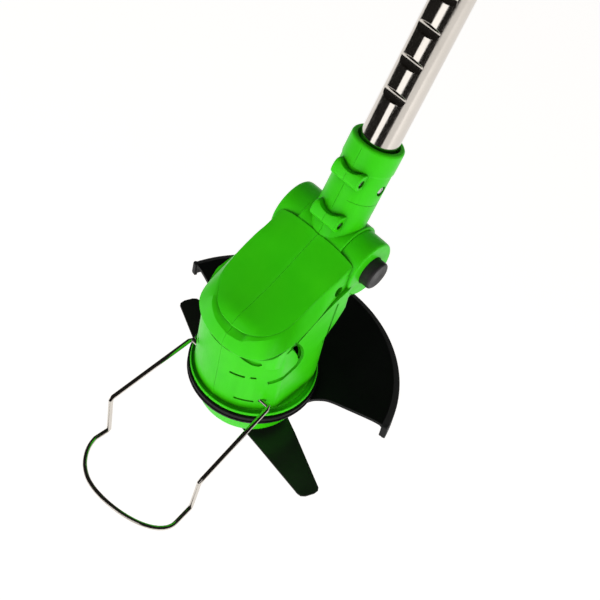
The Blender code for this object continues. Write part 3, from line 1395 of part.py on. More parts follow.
def grip_and_wiring(where):
    """The rubber sleeve of the rear grip, the battery terminals and the handle's lead."""
    outer = handle_stretch(-GAP - SLEEVE_THICKNESS, SLEEVE_LOW, SLEEVE_HIGH)
    inner = handle_stretch(-GAP, SLEEVE_LOW, SLEEVE_HIGH, 1.0)
    sleeve = loft("grip_sleeve", where, outer)
    cut(sleeve, loft("sleeve_room", where, inner))
    paint(sleeve, DARK_RUBBER)

    width = FOOT_HALF_WIDTH - HANDLE_WALL - GAP
    low = FOOT_START + 6.5
    high = FOOT_START + 10.0
    terminals = block("battery_terminals", where, (-width, -8.0, low), (width, 12.0, high))
    for x in TERMINAL_X:
        name = f"terminal_blade_{x:.0f}"
        top = BATTERY_START - 4.0
        unite(terminals, block(name, where, (x - 0.4, -2.0, high - 1.0), (x + 0.4, 6.0, top)))
    paint(terminals, COPPER)

    radius = 1.6
    beside = SWITCH_HALF_WIDTH + GAP + radius
    route = [
        (0.0, 0.0, BORE_END + STOP_LENGTH + GAP),
        (0.0, 0.0, BORE_END + 10.0),
        (beside, 2.0, SWITCH_LOW - 6.0),
        (beside, 2.0, SWITCH_HIGH + 4.0),
        (5.0, 2.0, FOOT_START - 20.0),
        (5.0, 2.0, low - GAP),
    ]
    paint(wire("handle_lead", where, rounded_path(route, 8.0), radius, 1), CABLE)


# Front handle and its clamp, in the pole frame


def clamp(where, middle):
    """The clamp's two halves round the handle, with the holes for their screws."""
    low, high = middle - CLAMP_HEIGHT / 2.0, middle + CLAMP_HEIGHT / 2.0
    inner = HANDLE_RADIUS + GAP
    outer = inner + CLAMP_WALL
    ear = outer + CLAMP_EAR
    depth = CLAMP_EAR_DEPTH
    for name, side in (("clamp_front", -1), ("clamp_back", 1)):
        body = rod(name, where, outer, (0, 0, low), CLAMP_HEIGHT, sides=28)
        ears = block(name + "_ears", where, (-ear, -depth, middle - 7.0), (ear, depth, middle + 7.0))
        unite(body, ears)
        if side < 0:
            hub = block(
                "clamp_hub",
                where,
                (-CLAMP_HUB_HALF_WIDTH, LOOP_BOLT_Y - 7.0, low + 2.0),
                (CLAMP_HUB_HALF_WIDTH, -HANDLE_RADIUS, high - 2.0),
            )
            unite(body, hub)
            at = (-60, LOOP_BOLT_Y, middle)
            cut(body, rod("clamp_bolt_hole", where, LOOP_BOLT_RADIUS + GAP, at, 120, "X", 12))
        near = side * GAP / 2.0
        far = -side * 90.0
        other_low = (-90.0, min(near, far), low - 10.0)
        other_high = (90.0, max(near, far), high + 10.0)
        hole = rod(name + "_hole", where, inner, (0, 0, low - 5), CLAMP_HEIGHT + 10, sides=28)
        cut(body, hole, block(name + "_other_side", where, other_low, other_high))
        for x in (ear - CLAMP_EAR / 2.0, CLAMP_EAR / 2.0 - ear):
            at = (x, -20, middle)
            radius = SCREW_SHANK + GAP
            cut(body, rod(f"{name}_screw_{x:.0f}", where, radius, at, 40, "Y", HOLE_SIDES))
        paint(body, BLACK_PLASTIC)


def front_handle(where):
    """The looped front handle on its clamp, with its bolt and knob."""
    middle = LOCK_HEIGHT + CLAMP_ABOVE_LOCK
    clamp(where, middle)
    foot_inner = CLAMP_HUB_HALF_WIDTH + GAP
    foot_x = foot_inner + LOOP_FOOT / 2.0
    centre_x = LOOP_HALF_WIDTH - LOOP_CORNER
    right = [(foot_x, LOOP_TANG_END + 1.0), (foot_x, LOOP_TANG_END - LOOP_RADIUS)]
    right += arc((centre_x, LOOP_SHOULDER), LOOP_CORNER, 60, 0, 2)
    right += arc((centre_x, LOOP_TOP + LOOP_CORNER), LOOP_CORNER, 0, -90, 4)
    path = [(x, y, middle) for x, y in right]
    path += [(-x, y, z) for x, y, z in reversed(path)]
    loop = baked(wire("front_loop_tube", where, path, LOOP_RADIUS, 2), "front_handle")
    for side, x in ((1, foot_inner), (-1, -foot_inner - LOOP_FOOT)):
        at = (x, LOOP_BOLT_Y, middle)
        tang_low = (x + 0.1, LOOP_TANG_END - 3.0, middle - LOOP_RADIUS + 1.6)
        tang_high = (x + LOOP_FOOT - 0.1, LOOP_BOLT_Y, middle + LOOP_RADIUS - 1.6)
        unite(
            loop,
            rod(f"loop_eye_{side}", where, LOOP_EYE_RADIUS, at, LOOP_FOOT, "X", 16),
            block(f"loop_tang_{side}", where, tang_low, tang_high),
        )
    at = (-60, LOOP_BOLT_Y, middle)
    cut(loop, rod("loop_bolt_hole", where, LOOP_BOLT_RADIUS + GAP, at, 120, "X", 12))
    put_origin(loop, (0, LOOP_BOLT_Y, middle))
    paint(loop, DARK_RUBBER)

    head = foot_inner + LOOP_FOOT + GAP
    end = head + KNOB_DEPTH - 3.0
    bolt = turned(
        "front_handle_bolt",
        where,
        [
            (0, end),
            (LOOP_BOLT_RADIUS, end),
            (LOOP_BOLT_RADIUS, -head),
            (7.0, -head),
            (7.0, -head - 3.0),
            (5.5, -head - 4.0),
            (0, -head - 4.0),
        ],
        at=(0, LOOP_BOLT_Y, middle),
        axis="X",
        steps=12,
    )
    paint(bolt, STEEL)
    lobes = []
    for i in range(20):
        angle = 2.0 * math.pi * i / 20
        radius = KNOB_RADIUS - 2.0 + 2.0 * math.cos(5 * angle)
        lobes.append((radius * math.cos(angle), radius * math.sin(angle)))
    knob = plate("front_handle_knob", where, lobes, head, head + KNOB_DEPTH, "X")
    knob.location += metres((0, LOOP_BOLT_Y, middle))
    bore_at = (head - 5.0, LOOP_BOLT_Y, middle)
    length = KNOB_DEPTH + 2.0 + GAP
    cut(knob, rod("knob_bore", where, LOOP_BOLT_RADIUS + GAP, bore_at, length, "X", 12))
    paint(knob, BLACK_PLASTIC)


# Battery, in the pole frame


def case_outline(inset):
    """The battery's outline seen along the handle, moved inwards."""
    corner = max(FOOT_CORNER - inset, 1.0)
    return rounded_box(FOOT_HALF_WIDTH - inset, FOOT_FRONT + inset, FOOT_BACK - inset, corner, 3)


def battery_case(where):
    """The battery's tub, with the plug that enters the handle, and its lid."""
    start = BATTERY_START
    end = start + BATTERY_LENGTH
    split = end - BATTERY_LID
    plug_low = start - BATTERY_PLUG_DEPTH
    plug_inset = HANDLE_WALL + PLUG_CLEARANCE
    tub = plate("battery_tub", where, case_outline(0.0), start, split)
    unite(tub, plate("battery_plug", where, case_outline(plug_inset), plug_low, start + 1.0))
    room_low = start + BATTERY_WALL
    room = plate("tub_room", where, case_outline(BATTERY_WALL), room_low, split + 5.0)
    for index, (x, y) in enumerate(LID_SCREWS):
        boss = rod(f"tub_boss_{index}", where, LID_BOSS_RADIUS, (x, y, split - 20.0), 30, sides=8)
        cut(room, boss)
    rib_y = spring_rib_y()
    rib = block("spring_rib", where, (-60, rib_y, start - 5.0), (60, rib_y + 1.6, LATCH_HIGH + 3.0))
    cut(room, rib)
    beside = max(x for x, y in CELL_PLACES) + CELL_RADIUS + GAP
    behind = max(y for x, y in CELL_PLACES) + CELL_RADIUS + GAP
    low, high = start + 30.0, start + 35.0
    cut(
        room,
        block("cell_rib_right", where, (beside, -8.0, low), (60, 0.0, high)),
        block("cell_rib_left", where, (-60, -8.0, low), (-beside, 0.0, high)),
        block("cell_rib_back", where, (-14.0, behind, low), (14.0, 60, high)),
    )
    plug_room = plate(
        "plug_room", where, case_outline(plug_inset + PLUG_WALL), plug_low + PLUG_WALL, room_low + 1.0
    )
    cut(tub, baked(room), plug_room)
    for x in TERMINAL_X:
        high = (x + 1.0, 8.0, plug_low + 4.0)
        cut(tub, block(f"blade_slot_{x:.0f}", where, (x - 1.0, -4.0, plug_low - 4.0), high))
    for index, (x, y) in enumerate(LID_SCREWS):
        at = (x, y, split - 12.0)
        cut(tub, rod(f"tub_pilot_{index}", where, SCREW_SHANK + GAP, at, 30, sides=HOLE_SIDES))
    side = LATCH_HALF_WIDTH + RUNNING_GAP
    window = block(
        "latch_window",
        where,
        (-side, FOOT_FRONT - 5.0, LATCH_LOW - RUNNING_GAP),
        (side, FOOT_FRONT + 4.0, LATCH_HIGH + RUNNING_GAP),
    )
    hook_low = (-7.0, FOOT_FRONT + BATTERY_WALL + 0.1, plug_low - 4.0)
    hook_room = block("hook_room", where, hook_low, (7.0, FOOT_FRONT + 12.0, LATCH_LOW + 1.0))
    cut(tub, window, hook_room)
    paint(tub, BLACK_PLASTIC)

    lid = plate("battery_lid", where, case_outline(0.0), split + GAP, end)
    room = plate("lid_room", where, case_outline(BATTERY_WALL), split - 5.0, end - 3.0)
    for index, (x, y) in enumerate(LID_SCREWS):
        cut(room, rod(f"lid_boss_{index}", where, LID_BOSS_RADIUS, (x, y, split + GAP), 30, sides=8))
    cut(lid, baked(room))
    seat = end - 4.0
    for index, (x, y) in enumerate(LID_SCREWS):
        head = SCREW_HEAD + 0.4
        cut(lid, rod(f"lid_recess_{index}", where, head, (x, y, seat), 30, sides=HOLE_SIDES))
        at = (x, y, split - 12.0)
        cut(lid, rod(f"lid_hole_{index}", where, SCREW_SHANK + GAP, at, 60, sides=HOLE_SIDES))
    paint(lid, GREEN)


def spring_rib_y():
    """Where the wall behind the latch spring stands, clear of the cells."""
    return min(y for x, y in CELL_PLACES) - CELL_RADIUS - GAP - 1.9


def battery_inside(where):
    """The welded cells and the contacts behind the plug."""
    low = BATTERY_START + BATTERY_WALL + 0.8
    high = low + CELL_LENGTH
    cells = [
        rod(f"cell_{index}", where, CELL_RADIUS, (x, y, low), CELL_LENGTH, sides=12)
        for index, (x, y) in enumerate(CELL_PLACES)
    ]
    for index, (first, second) in enumerate(zip(CELL_PLACES, CELL_PLACES[1:])):
        end = high if index % 2 == 0 else low
        corners = ((first[0], second[0]), (first[1], second[1]))
        outer = max(x for x, y in CELL_PLACES) - 8.0
        far = outer if index == 2 else max(corners[0])
        near = outer - 4.0 if index == 2 else min(corners[0])
        strip_low = (near, min(corners[1]) - 3.0, end - 0.25)
        strip_high = (far, max(corners[1]) + 3.0, end + 0.25)
        unite(cells[0], block(f"weld_strip_{index}", where, strip_low, strip_high))
    unite(cells[0], *cells[1:])
    paint(baked(cells[0], "battery_cells"), CELL_WRAP)

    clip_low = BATTERY_START - BATTERY_PLUG_DEPTH + PLUG_WALL + GAP
    clip_high = BATTERY_START + 1.0
    half_gap, thick = 0.7, 0.8
    side = FOOT_HALF_WIDTH - HANDLE_WALL - PLUG_CLEARANCE - PLUG_WALL - GAP
    base = block("battery_contacts", where, (-side, -2.0, clip_high - 1.0), (side, 6.0, clip_high + 1.0))
    for x in TERMINAL_X:
        inner, outer = half_gap, half_gap + thick
        shape = [
            (x - outer, clip_low),
            (x - outer, clip_high - 0.5),
            (x + outer, clip_high - 0.5),
            (x + outer, clip_low),
            (x + inner, clip_low),
            (x + inner, clip_high - thick - 1.0),
            (x - inner, clip_high - thick - 1.0),
            (x - inner, clip_low),
        ]
        unite(base, plate(f"clip_{x:.0f}", where, shape, -6.0, 2.0, "-Y"))
    paint(base, COPPER)


def battery_latch(where):
    """The latch in the battery's front, its hook and its spring."""
    inside = FOOT_FRONT + BATTERY_WALL
    latch = block(
        "battery_latch",
        where,
        (-LATCH_HALF_WIDTH, FOOT_FRONT - 1.5, LATCH_LOW),
        (LATCH_HALF_WIDTH, inside + 1.0, LATCH_HIGH),
    )
    flange = block(
        "latch_flange",
        where,
        (-LATCH_HALF_WIDTH - 2.0, inside + GAP, LATCH_LOW - 1.0),
        (LATCH_HALF_WIDTH + 2.0, inside + 2.2, LATCH_HIGH + 2.0),
    )
    arm_top = FOOT_FRONT + HANDLE_WALL + PLUG_CLEARANCE
    arm = block("latch_arm", where, (-6.0, arm_top, HOOK_LOW), (6.0, arm_top + 2.0, LATCH_LOW + 3.0))
    tooth_low = (-5.0, FOOT_FRONT + 0.9, HOOK_LOW)
    tooth_high = (5.0, arm_top + 1.0, HOOK_LOW + HOOK_HEIGHT)
    tooth = block("latch_tooth", where, tooth_low, tooth_high)
    unite(latch, flange, arm, tooth)
    paint(latch, DARK_RUBBER)
    start = inside + 2.2 + GAP
    length = spring_rib_y() - GAP - start
    at = (0, start, (LATCH_LOW + LATCH_HIGH) / 2.0)
    spring = coil_spring("battery_latch_spring", where, at, "Y", SMALL_SPRING_RADIUS, length, 3)
    paint(spring, STEEL)


def smooth_shading():
    """Round pieces shade smooth, with their edges kept sharp."""
    for obj in list(PARTS.objects) + list(TOOLS.objects):
        if obj.type == "MESH":
            obj.data.shade_smooth()
            obj.data.set_sharp_from_angle(angle=math.radians(35.0))


def main():
    tilt = frame("tilt_axis", (0, PIVOT_Y, LIP_HEIGHT + PIVOT_Z))
    head = frame("head_frame", (0, -PIVOT_Y, -PIVOT_Z), parent=tilt)
    lean = math.radians(POLE_LEAN)
    back, up = TUBE_OFFSET * math.cos(lean), TUBE_OFFSET * math.sin(lean)
    pole = frame("pole_frame", (0, -back, up), POLE_LEAN, tilt)
    head_shells(head, pole)
    motor(head)
    rotor(head)
    guard(head)
    wire_guard(head)
    neck(pole)
    pole_tube(pole)
    leads(head, pole)
    tilt_button(pole)
    handle_shells(pole)
    lock_lever(pole)
    trigger_and_switch(pole)
    grip_and_wiring(pole)
    front_handle(pole)
    battery_case(pole)
    battery_inside(pole)
    battery_latch(pole)
    smooth_shading()


main()
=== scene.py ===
from math import acos, cos, degrees, hypot, pi, radians, sin, sqrt

import bmesh
import bpy
from mathutils import Matrix, Vector


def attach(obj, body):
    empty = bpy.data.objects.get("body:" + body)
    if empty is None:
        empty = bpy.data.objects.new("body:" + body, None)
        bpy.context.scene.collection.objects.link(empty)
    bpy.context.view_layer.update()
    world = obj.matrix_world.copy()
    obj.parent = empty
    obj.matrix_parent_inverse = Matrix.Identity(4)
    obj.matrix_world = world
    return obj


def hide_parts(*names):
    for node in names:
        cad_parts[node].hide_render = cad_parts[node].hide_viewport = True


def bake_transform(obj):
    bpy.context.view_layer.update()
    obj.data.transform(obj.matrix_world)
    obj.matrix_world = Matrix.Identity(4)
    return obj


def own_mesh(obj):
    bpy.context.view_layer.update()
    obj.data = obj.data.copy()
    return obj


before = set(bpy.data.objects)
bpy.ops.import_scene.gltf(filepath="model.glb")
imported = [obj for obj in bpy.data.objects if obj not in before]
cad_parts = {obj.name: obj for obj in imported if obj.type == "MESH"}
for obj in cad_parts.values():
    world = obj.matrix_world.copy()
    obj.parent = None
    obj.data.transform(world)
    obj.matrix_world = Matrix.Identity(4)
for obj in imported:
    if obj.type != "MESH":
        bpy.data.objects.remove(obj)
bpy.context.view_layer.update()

# Sizes are in millimetres. The head frame stands on the plane of the head's lip, and the pole
# frame has its Z along the tube, which leans back from the tilt pivot.
LEAN = 21.8
HEAD = Matrix.Translation((0, 0, 46))
POLE = Matrix.Translation((0, 49.043, 130.863)) @ Matrix.Rotation(radians(-LEAN), 4, "X")
METRES = Matrix.Scale(0.001, 4)
STEM_IN_HEAD = HEAD.inverted() @ POLE
ALONG = {
    "X": ((0, 0, 1), (1, 0, 0), (0, 1, 0)),
    "-X": ((0, 0, -1), (1, 0, 0), (0, 1, 0)),
    "Y": ((1, 0, 0), (0, 0, 1), (0, -1, 0)),
    "-Y": ((1, 0, 0), (0, 0, -1), (0, 1, 0)),
    "Z": ((1, 0, 0), (0, 1, 0), (0, 0, 1)),
    "-Z": ((1, 0, 0), (0, -1, 0), (0, 0, -1)),
}
ALONG = {axis: Matrix(rows).to_4x4() for axis, rows in ALONG.items()}
HEAD_BODIES = ("head", "rotor", "wire_guard", None)
SHARP = radians(32)


# Mesh making


def tidy(bm):
    """Merge what lies on the same spot and point every face outwards."""
    bmesh.ops.remove_doubles(bm, verts=bm.verts, dist=0.002)
    bmesh.ops.dissolve_degenerate(bm, edges=bm.edges, dist=0.0005)
    bmesh.ops.recalc_face_normals(bm, faces=bm.faces)
    return bm


def lathe(profile, at=(0, 0, 0), axis="Z", steps=72):
    """A profile of radius and height spun once about an axis."""
    bm = bmesh.new()
    points = [bm.verts.new((radius, 0, height)) for radius, height in profile]
    edges = [bm.edges.new(pair) for pair in zip(points, points[1:])]
    if profile[0][0] > 0 and profile[-1][0] > 0:
        edges.append(bm.edges.new((points[-1], points[0])))
    bmesh.ops.spin(
        bm, geom=points + edges, cent=(0, 0, 0), axis=(0, 0, 1), angle=2 * pi, steps=steps,
        use_merge=True,
    )
    bm.transform(Matrix.Translation(at) @ ALONG[axis])
    return tidy(bm)


def rod(radius, at, length, axis="Z", steps=48, edge=0):
    """A round bar, with softened ends if an edge is given."""
    profile = [(0, 0), (radius, 0), (radius, length), (0, length)]
    if edge:
        inner = radius - edge
        profile[1:3] = [(inner, 0), (radius, edge), (radius, length - edge), (inner, length)]
    return lathe(profile, at, axis, steps)


def prism(outline, low, high, axis="Z", at=(0, 0, 0)):
    """A flat outline drawn out between two heights."""
    bm = bmesh.new()
    face = bm.faces.new([bm.verts.new((x, y, low)) for x, y in outline])
    moved = bmesh.ops.extrude_face_region(bm, geom=[face])["geom"]
    top = [item for item in moved if isinstance(item, bmesh.types.BMVert)]
    bmesh.ops.translate(bm, verts=top, vec=(0, 0, high - low))
    bm.transform(Matrix.Translation(at) @ ALONG[axis])
    return tidy(bm)


def block(low, high, edge=0, segments=3):
    """A box between two corners, with rounded edges."""
    bm = bmesh.new()
    bmesh.ops.create_cube(bm, size=1)
    size = Vector(high) - Vector(low)
    bmesh.ops.scale(bm, verts=bm.verts, vec=size)
    bmesh.ops.translate(bm, verts=bm.verts, vec=(Vector(low) + Vector(high)) / 2)
    return soften(bm, edge, segments) if edge else bm


def loft(rings, closed=True):
    """Closed rings of points joined one after another. The last ring is left open when closed is false, as
    for one that lies on a line.
    """
    bm = bmesh.new()
    loops = []
    for ring in rings:
        points = [bm.verts.new(point) for point in ring]
        loops.append(points)
        for pair in zip(points, points[1:] + points[:1]):
            bm.edges.new(pair)
    for first, second in zip(loops, loops[1:]):
        edges = [bm.edges.get(pair) for ring in (first, second) for pair in zip(ring, ring[1:] + ring[:1])]
        bmesh.ops.bridge_loops(bm, edges=edges)
    bm.faces.new(loops[0])
    if closed:
        bm.faces.new(loops[-1])
    return tidy(bm)


def sweep(path, radius, sides=16):
    """A round bar along a path. The radius may change from point to point."""
    bm = bmesh.new()
    path = [Vector(point) for point in path]
    radii = radius if isinstance(radius, list) else [radius] * len(path)
    turn = None
    loops = []
    for index, point in enumerate(path):
        ahead = (path[min(index + 1, len(path) - 1)] - path[max(index - 1, 0)]).normalized()
        if turn is None:
            turn = ahead.to_track_quat("Z", "Y")
        else:
            turn = (turn @ Vector((0, 0, 1))).rotation_difference(ahead) @ turn
        matrix = Matrix.Translation(point) @ turn.to_matrix().to_4x4()
        circle = bmesh.ops.create_circle(bm, segments=sides, radius=radii[index], matrix=matrix)["verts"]
        loops.append(list({edge for vert in circle for edge in vert.link_edges}))
    for first, second in zip(loops, loops[1:]):
        bmesh.ops.bridge_loops(bm, edges=first + second)
    for loop in (loops[0], loops[-1]):
        bmesh.ops.contextual_create(bm, geom=loop)
    return tidy(bm)


def soften(bm, width, segments=3, angle=40, test=None):
    """Round the edges that turn by more than an angle."""
    limit = radians(angle)
    edges = [edge for edge in bm.edges if edge.is_manifold and edge.calc_face_angle(0) > limit]
    edges = [edge for edge in edges if test is None or test(edge)]
    bmesh.ops.bevel(
        bm, geom=edges, offset=width, offset_type="OFFSET", segments=segments, profile=0.5, affect="EDGES",
        clamp_overlap=True, material=-1,
    )
    return bm


def placed(name, bm):
    """A mesh as an object of the scene."""
    mesh = bpy.data.meshes.new(name)
    bm.to_mesh(mesh)
    bm.free()
    piece = bpy.data.objects.new(name, mesh)
    bpy.context.scene.collection.objects.link(piece)
    return piece


def solve(base, operation, tools):
    """The base after a Boolean with each tool in turn."""
    target = placed("holder", base)
    others = [placed("holder", tool) for tool in tools]
    for other in others:
        step = target.modifiers.new("solve", "BOOLEAN")
        step.operation = operation
        step.solver = "EXACT"
        step.object = other
    result = bmesh.new()
    result.from_object(target, bpy.context.evaluated_depsgraph_get())
    for obj in [target] + others:
        mesh = obj.data
        bpy.data.objects.remove(obj)
        bpy.data.meshes.remove(mesh)
    return tidy(result)


def unite(base, *tools):
    return solve(base, "UNION", tools)


def cut(base, *tools):
    return solve(base, "DIFFERENCE", tools)


def keep(base, *tools):
    return solve(base, "INTERSECT", tools)


def side_of(bm, side):
    """The part of a solid on one side of the seam between two halves."""
    gap, reach = 0.06, 900
    low, high = sorted((side * gap, side * reach))
    return keep(bm.copy(), block((low, -reach, -reach), (high, reach, reach)))


def add(name, bm, body, looks, nodes=()):
    """Put a finished mesh in the scene, in metres, on the body that it moves with, if there is one."""
    tidy(bm)
    bm.transform(METRES @ (HEAD if body in HEAD_BODIES else POLE))
    piece = placed(name, bm)
    piece.data.shade_smooth()
    piece.data.set_sharp_from_angle(angle=SHARP)
    looks = looks if isinstance(looks, list) else [looks]
    for item in looks:
        piece.data.materials.append(item)
    piece.modifiers.new("normals", "WEIGHTED_NORMAL").keep_sharp = True
    if body:
        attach(piece, body)
    if nodes:
        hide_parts(*nodes)
    return piece


def arc(centre, radius, start, end, count):
    """Points on a circle, from one angle to another."""
    turns = [radians(start + (end - start) * i / count) for i in range(count + 1)]
    return [(centre[0] + radius * cos(t), centre[1] + radius * sin(t)) for t in turns]


def smooth_path(points, per):
    """A smooth line through the points."""
    points = [Vector(point) for point in points]
    padded = [2 * points[0] - points[1]] + points + [2 * points[-1] - points[-2]]
    path = []
    for before, start, end, after in zip(padded, padded[1:], padded[2:], padded[3:]):
        for i in range(per):
            t = i / per
            square = (2 * before - 5 * start + 4 * end - after) * t * t
            cube = (3 * start - before - 3 * end + after) * t**3
            path.append(0.5 * (2 * start + (end - before) * t + square + cube))
    return path + [points[-1]]


def smooth_outline(outline, per):
    """A smooth line through the points of a flat outline."""
    return [(point.x, point.y) for point in smooth_path([(x, y, 0) for x, y in outline], per)]


def between(table, value):
    """A table of pairs read at any value."""
    if value <= table[0][0]:
        return table[0][1]
    for (x0, y0), (x1, y1) in zip(table, table[1:]):
        if value <= x1:
            return y0 + (y1 - y0) * (value - x0) / (x1 - x0)
    return table[-1][1]


# Finishes


def fill(made, **values):
    """Set a node's inputs by name. A socket is linked, and anything else is the input's value."""
    for name, value in values.items():
        socket = made.inputs[name.replace("_", " ")]
        if isinstance(value, bpy.types.NodeSocket):
            made.id_data.links.new(value, socket)
        else:
            socket.default_value = value
    return made


def node(tree, kind, **values):
    """A new shader node with its inputs set by name."""
    return fill(tree.nodes.new("ShaderNode" + kind), **values)


def finish(name, base, deep, rough, metal=0, grain=1800, bump=0.03, spread=0.08, marks=0.25, painted_shade_floor=0.5):
    """Moulded or machined stock: clouded colour, fine grain, fine scratches, worn edges and painted shade in
    hollows.
    """
    material = bpy.data.materials.new(name)
    material.use_nodes = True
    tree = material.node_tree
    place = node(tree, "TexCoord").outputs["Object"]

    cloud = node(tree, "TexNoise", Vector=place, Scale=38, Detail=3, Roughness=0.6)
    shade = node(tree, "ValToRGB", Fac=cloud.outputs["Fac"])
    for element, position, colour in zip(shade.color_ramp.elements, (0.3, 0.7), (deep, base)):
        element.position = position
        element.color = (*colour, 1)

    # Edges stand out a little lighter, and hollows go darker with painted shade from ambient occlusion
    edges = node(tree, "NewGeometry").outputs["Pointiness"]
    worn = node(tree, "MapRange", Value=edges, From_Min=0.52, From_Max=0.6, To_Max=marks)
    tint = node(tree, "Mix")
    tint.data_type = "RGBA"
    factor, first, second = (tint.inputs[index] for index in (0, 6, 7))
    second.default_value = (*[min(1, channel * 1.25 + 0.02) for channel in base], 1)
    tree.links.new(worn.outputs["Result"], factor)
    tree.links.new(shade.outputs["Color"], first)
    # Painted shade: ambient occlusion darkens the colour in hollows and creases, down to the given floor
    painted_shade_ao = node(tree, "AmbientOcclusion", Distance=0.007)
    painted_shade_ao.samples = 8
    painted_shade_ao.only_local = True
    shadow = node(tree, "MapRange", Value=painted_shade_ao.outputs["AO"], From_Min=0.25, From_Max=0.95,
                  To_Min=painted_shade_floor, To_Max=1)
    darker = node(tree, "VectorMath")
    darker.operation = "SCALE"
    fill(darker, Vector=tint.outputs[2], Scale=shadow.outputs["Result"])

    stretch = node(tree, "Mapping", Vector=place, Scale=(900, 140, 220), Rotation=(0.4, 0.9, 0.3))
    scratch = node(tree, "TexNoise", Vector=stretch.outputs["Vector"], Scale=1, Detail=2)
    gloss = node(tree, "MapRange", Value=scratch.outputs["Fac"], From_Min=0.3, From_Max=0.7,
                 To_Min=max(rough - spread, 0.02), To_Max=rough + spread)

    fine = node(tree, "TexNoise", Vector=place, Scale=grain, Detail=2)
    soft = node(tree, "Bevel", Radius=0.0005)
    soft.samples = 4
    relief = node(tree, "Bump", Strength=bump * 10, Distance=0.00005, Height=fine.outputs["Fac"],
                  Normal=soft.outputs["Normal"])
    fill(tree.nodes["Principled BSDF"], Metallic=metal, Specular_IOR_Level=0.14 + 0.36 * metal,
         Base_Color=darker.outputs["Vector"], Roughness=gloss.outputs["Result"],
         Normal=relief.outputs["Normal"])
    return material


# The housing green gets deep painted shade in its grooves, vents and gutter
GREEN = finish("green_housing", (0.042, 0.6, 0.003), (0.032, 0.56, 0.002), 0.36, spread=0.05, bump=0.012,
               painted_shade_floor=0.22)
BLACK = finish("black_moulding", (0.0045, 0.0045, 0.0045), (0.003, 0.003, 0.003), 0.5, marks=0.1)
GRAINED = finish("grained_moulding", (0.015, 0.0145, 0.0145), (0.016, 0.016, 0.016), 0.6,
                 grain=900, bump=0.1)
BUTTON = finish("button_moulding", (0.019, 0.0185, 0.018), (0.022, 0.021, 0.021), 0.38, bump=0.05)
RUBBER = finish("soft_grip", (0.017, 0.017, 0.018), (0.012, 0.012, 0.013), 0.75, grain=1400, bump=0.08)
CHROME = finish("chromed_steel", (0.66, 0.62, 0.57), (0.62, 0.58, 0.53), 0.1, 1, spread=0.03,
                bump=0.002, marks=0)
ZINC = finish("zinc_steel", (0.62, 0.62, 0.62), (0.5, 0.5, 0.51), 0.28, 1, spread=0.1, bump=0.01)
BLADE = finish("oiled_blade_steel", (0.03, 0.034, 0.027), (0.02, 0.024, 0.018), 0.34, 0.7,
               spread=0.03, bump=0.004)
COPPER = finish("copper_winding", (0.75, 0.33, 0.17), (0.6, 0.24, 0.12), 0.32, 1)
MAGNET = finish("ferrite", (0.05, 0.05, 0.055), (0.035, 0.035, 0.04), 0.6, bump=0.06)
WRAP = finish("cell_sleeve", (0.04, 0.2, 0.45), (0.03, 0.16, 0.38), 0.35)
CABLE = finish("cable_sheath", (0.016, 0.016, 0.017), (0.01, 0.01, 0.011), 0.5)


# Places that several pieces share: in the head's frame, then in the pole's frame

PIVOT = (52.2, 83.6)
WIRE_PIVOT = (-23.3, 9.7)
RIGHT_SCREW = (26, 82)
LEFT_SCREWS = ((28.5, 22), (28.5, 44))
GUARD_SCREWS = arc((0, 0), 34, 45, 315, 3)
BORE = 1.8

PIVOT_Y = 3.4
LEAD_X = -6.8
LUGS = (23.5, 54.5)
TUBE_SCREW = 49.5
NOTCHES = [109.6 + 22.7 * index for index in range(13)]
LEVER_PIN = (-23.4, 404)
CLAMP = 492
CLAMP_SCREWS = (29.8, -29.8)
BOLT_Y = -34
HANDLE_SCREWS = ((-13.2, 740.4), (14.5, 740.4), (14, 822.4))
TRIGGER_PIN = (19.5, 751.4)
LOCK_OFF = (0, 0, 774.4)
GRIP_START, GRIP_LENGTH, GRIP_END = 800.4, 52, 852.4
LID_SCREWS = ((27, -21.6), (-27, -21.6), (27, 29.6), (-27, 29.6))


# Head


# The ridge along the top, by Y and Z
SEAM = smooth_outline(
    [(-33, 68.4), (-31, 70), (-28.5, 71.3), (-24, 72.7), (-19, 73.8), (-12.9, 75.6), (-1, 79.9),
     (10.9, 85.6), (22.5, 92.2), (37, 100)],
    4,
)
# The overhang that runs round the front and climbs to the ears, and the step above it
CREASE = [
    (0, -38, 52), (9.8, -36.9, 52.2), (17, -34.6, 53), (24.6, -30.3, 55.5), (29.6, -27, 60),
    (33.2, -23.3, 65), (34.6, -17.7, 66.8), (34.6, -8.9, 67.6), (34.2, -0.6, 69.6), (33.4, 9.4, 73),
    (32, 20, 76.4), (30.6, 37, 80),
]
CREASE_LEFT = [
    (0, -38, 52), (9.9, -36.9, 52.2), (17.8, -34.8, 52.4), (26.4, -30.4, 53.2), (32.6, -24.8, 54.8),
    (35.2, -18.2, 57.6), (35.8, -10.6, 61), (35.4, -3, 65.4), (34, 4, 70), (32.6, 12, 74.2), (31.2, 22, 78),
    (30, 37, 82),
]
STEP = [
    (0, -35, 62), (9.2, -33.8, 63.4), (15.3, -31.5, 65.6), (19.9, -27.9, 67.6), (24.6, -20.6, 69.2),
    (27.2, -14.8, 70.8), (28.4, -9.8, 73), (28.9, -3, 76.3), (29.2, 4, 79.8), (29.5, 12, 84),
    (29.7, 22, 89.6), (29.7, 37, 95.2),
]
PANEL_EDGE = [
    (0, -31.8, 67.6), (8.6, -30.8, 67.9), (14.2, -28.6, 68.6), (18.8, -25.4, 69.4), (23.4, -19.2, 70.6),
    (26.2, -13.8, 72.2), (27.6, -9.2, 74.1), (28.4, -2.8, 77.1), (28.7, 4, 80.6), (29, 12, 84.8),
    (29.2, 22, 90.4), (29.2, 37, 96),
]
# Points drawn from each point of these lines to the next
PER = 5


def both_sides(right, left):
    """A closed ring from the front centre up the right side and back down the left."""
    mirrored = [Vector((-point.x, point.y, point.z)) for point in left]
    across = [right[-1].lerp(mirrored[-1], i / 6) for i in range(1, 6)]
    return right + across + mirrored[:0:-1]


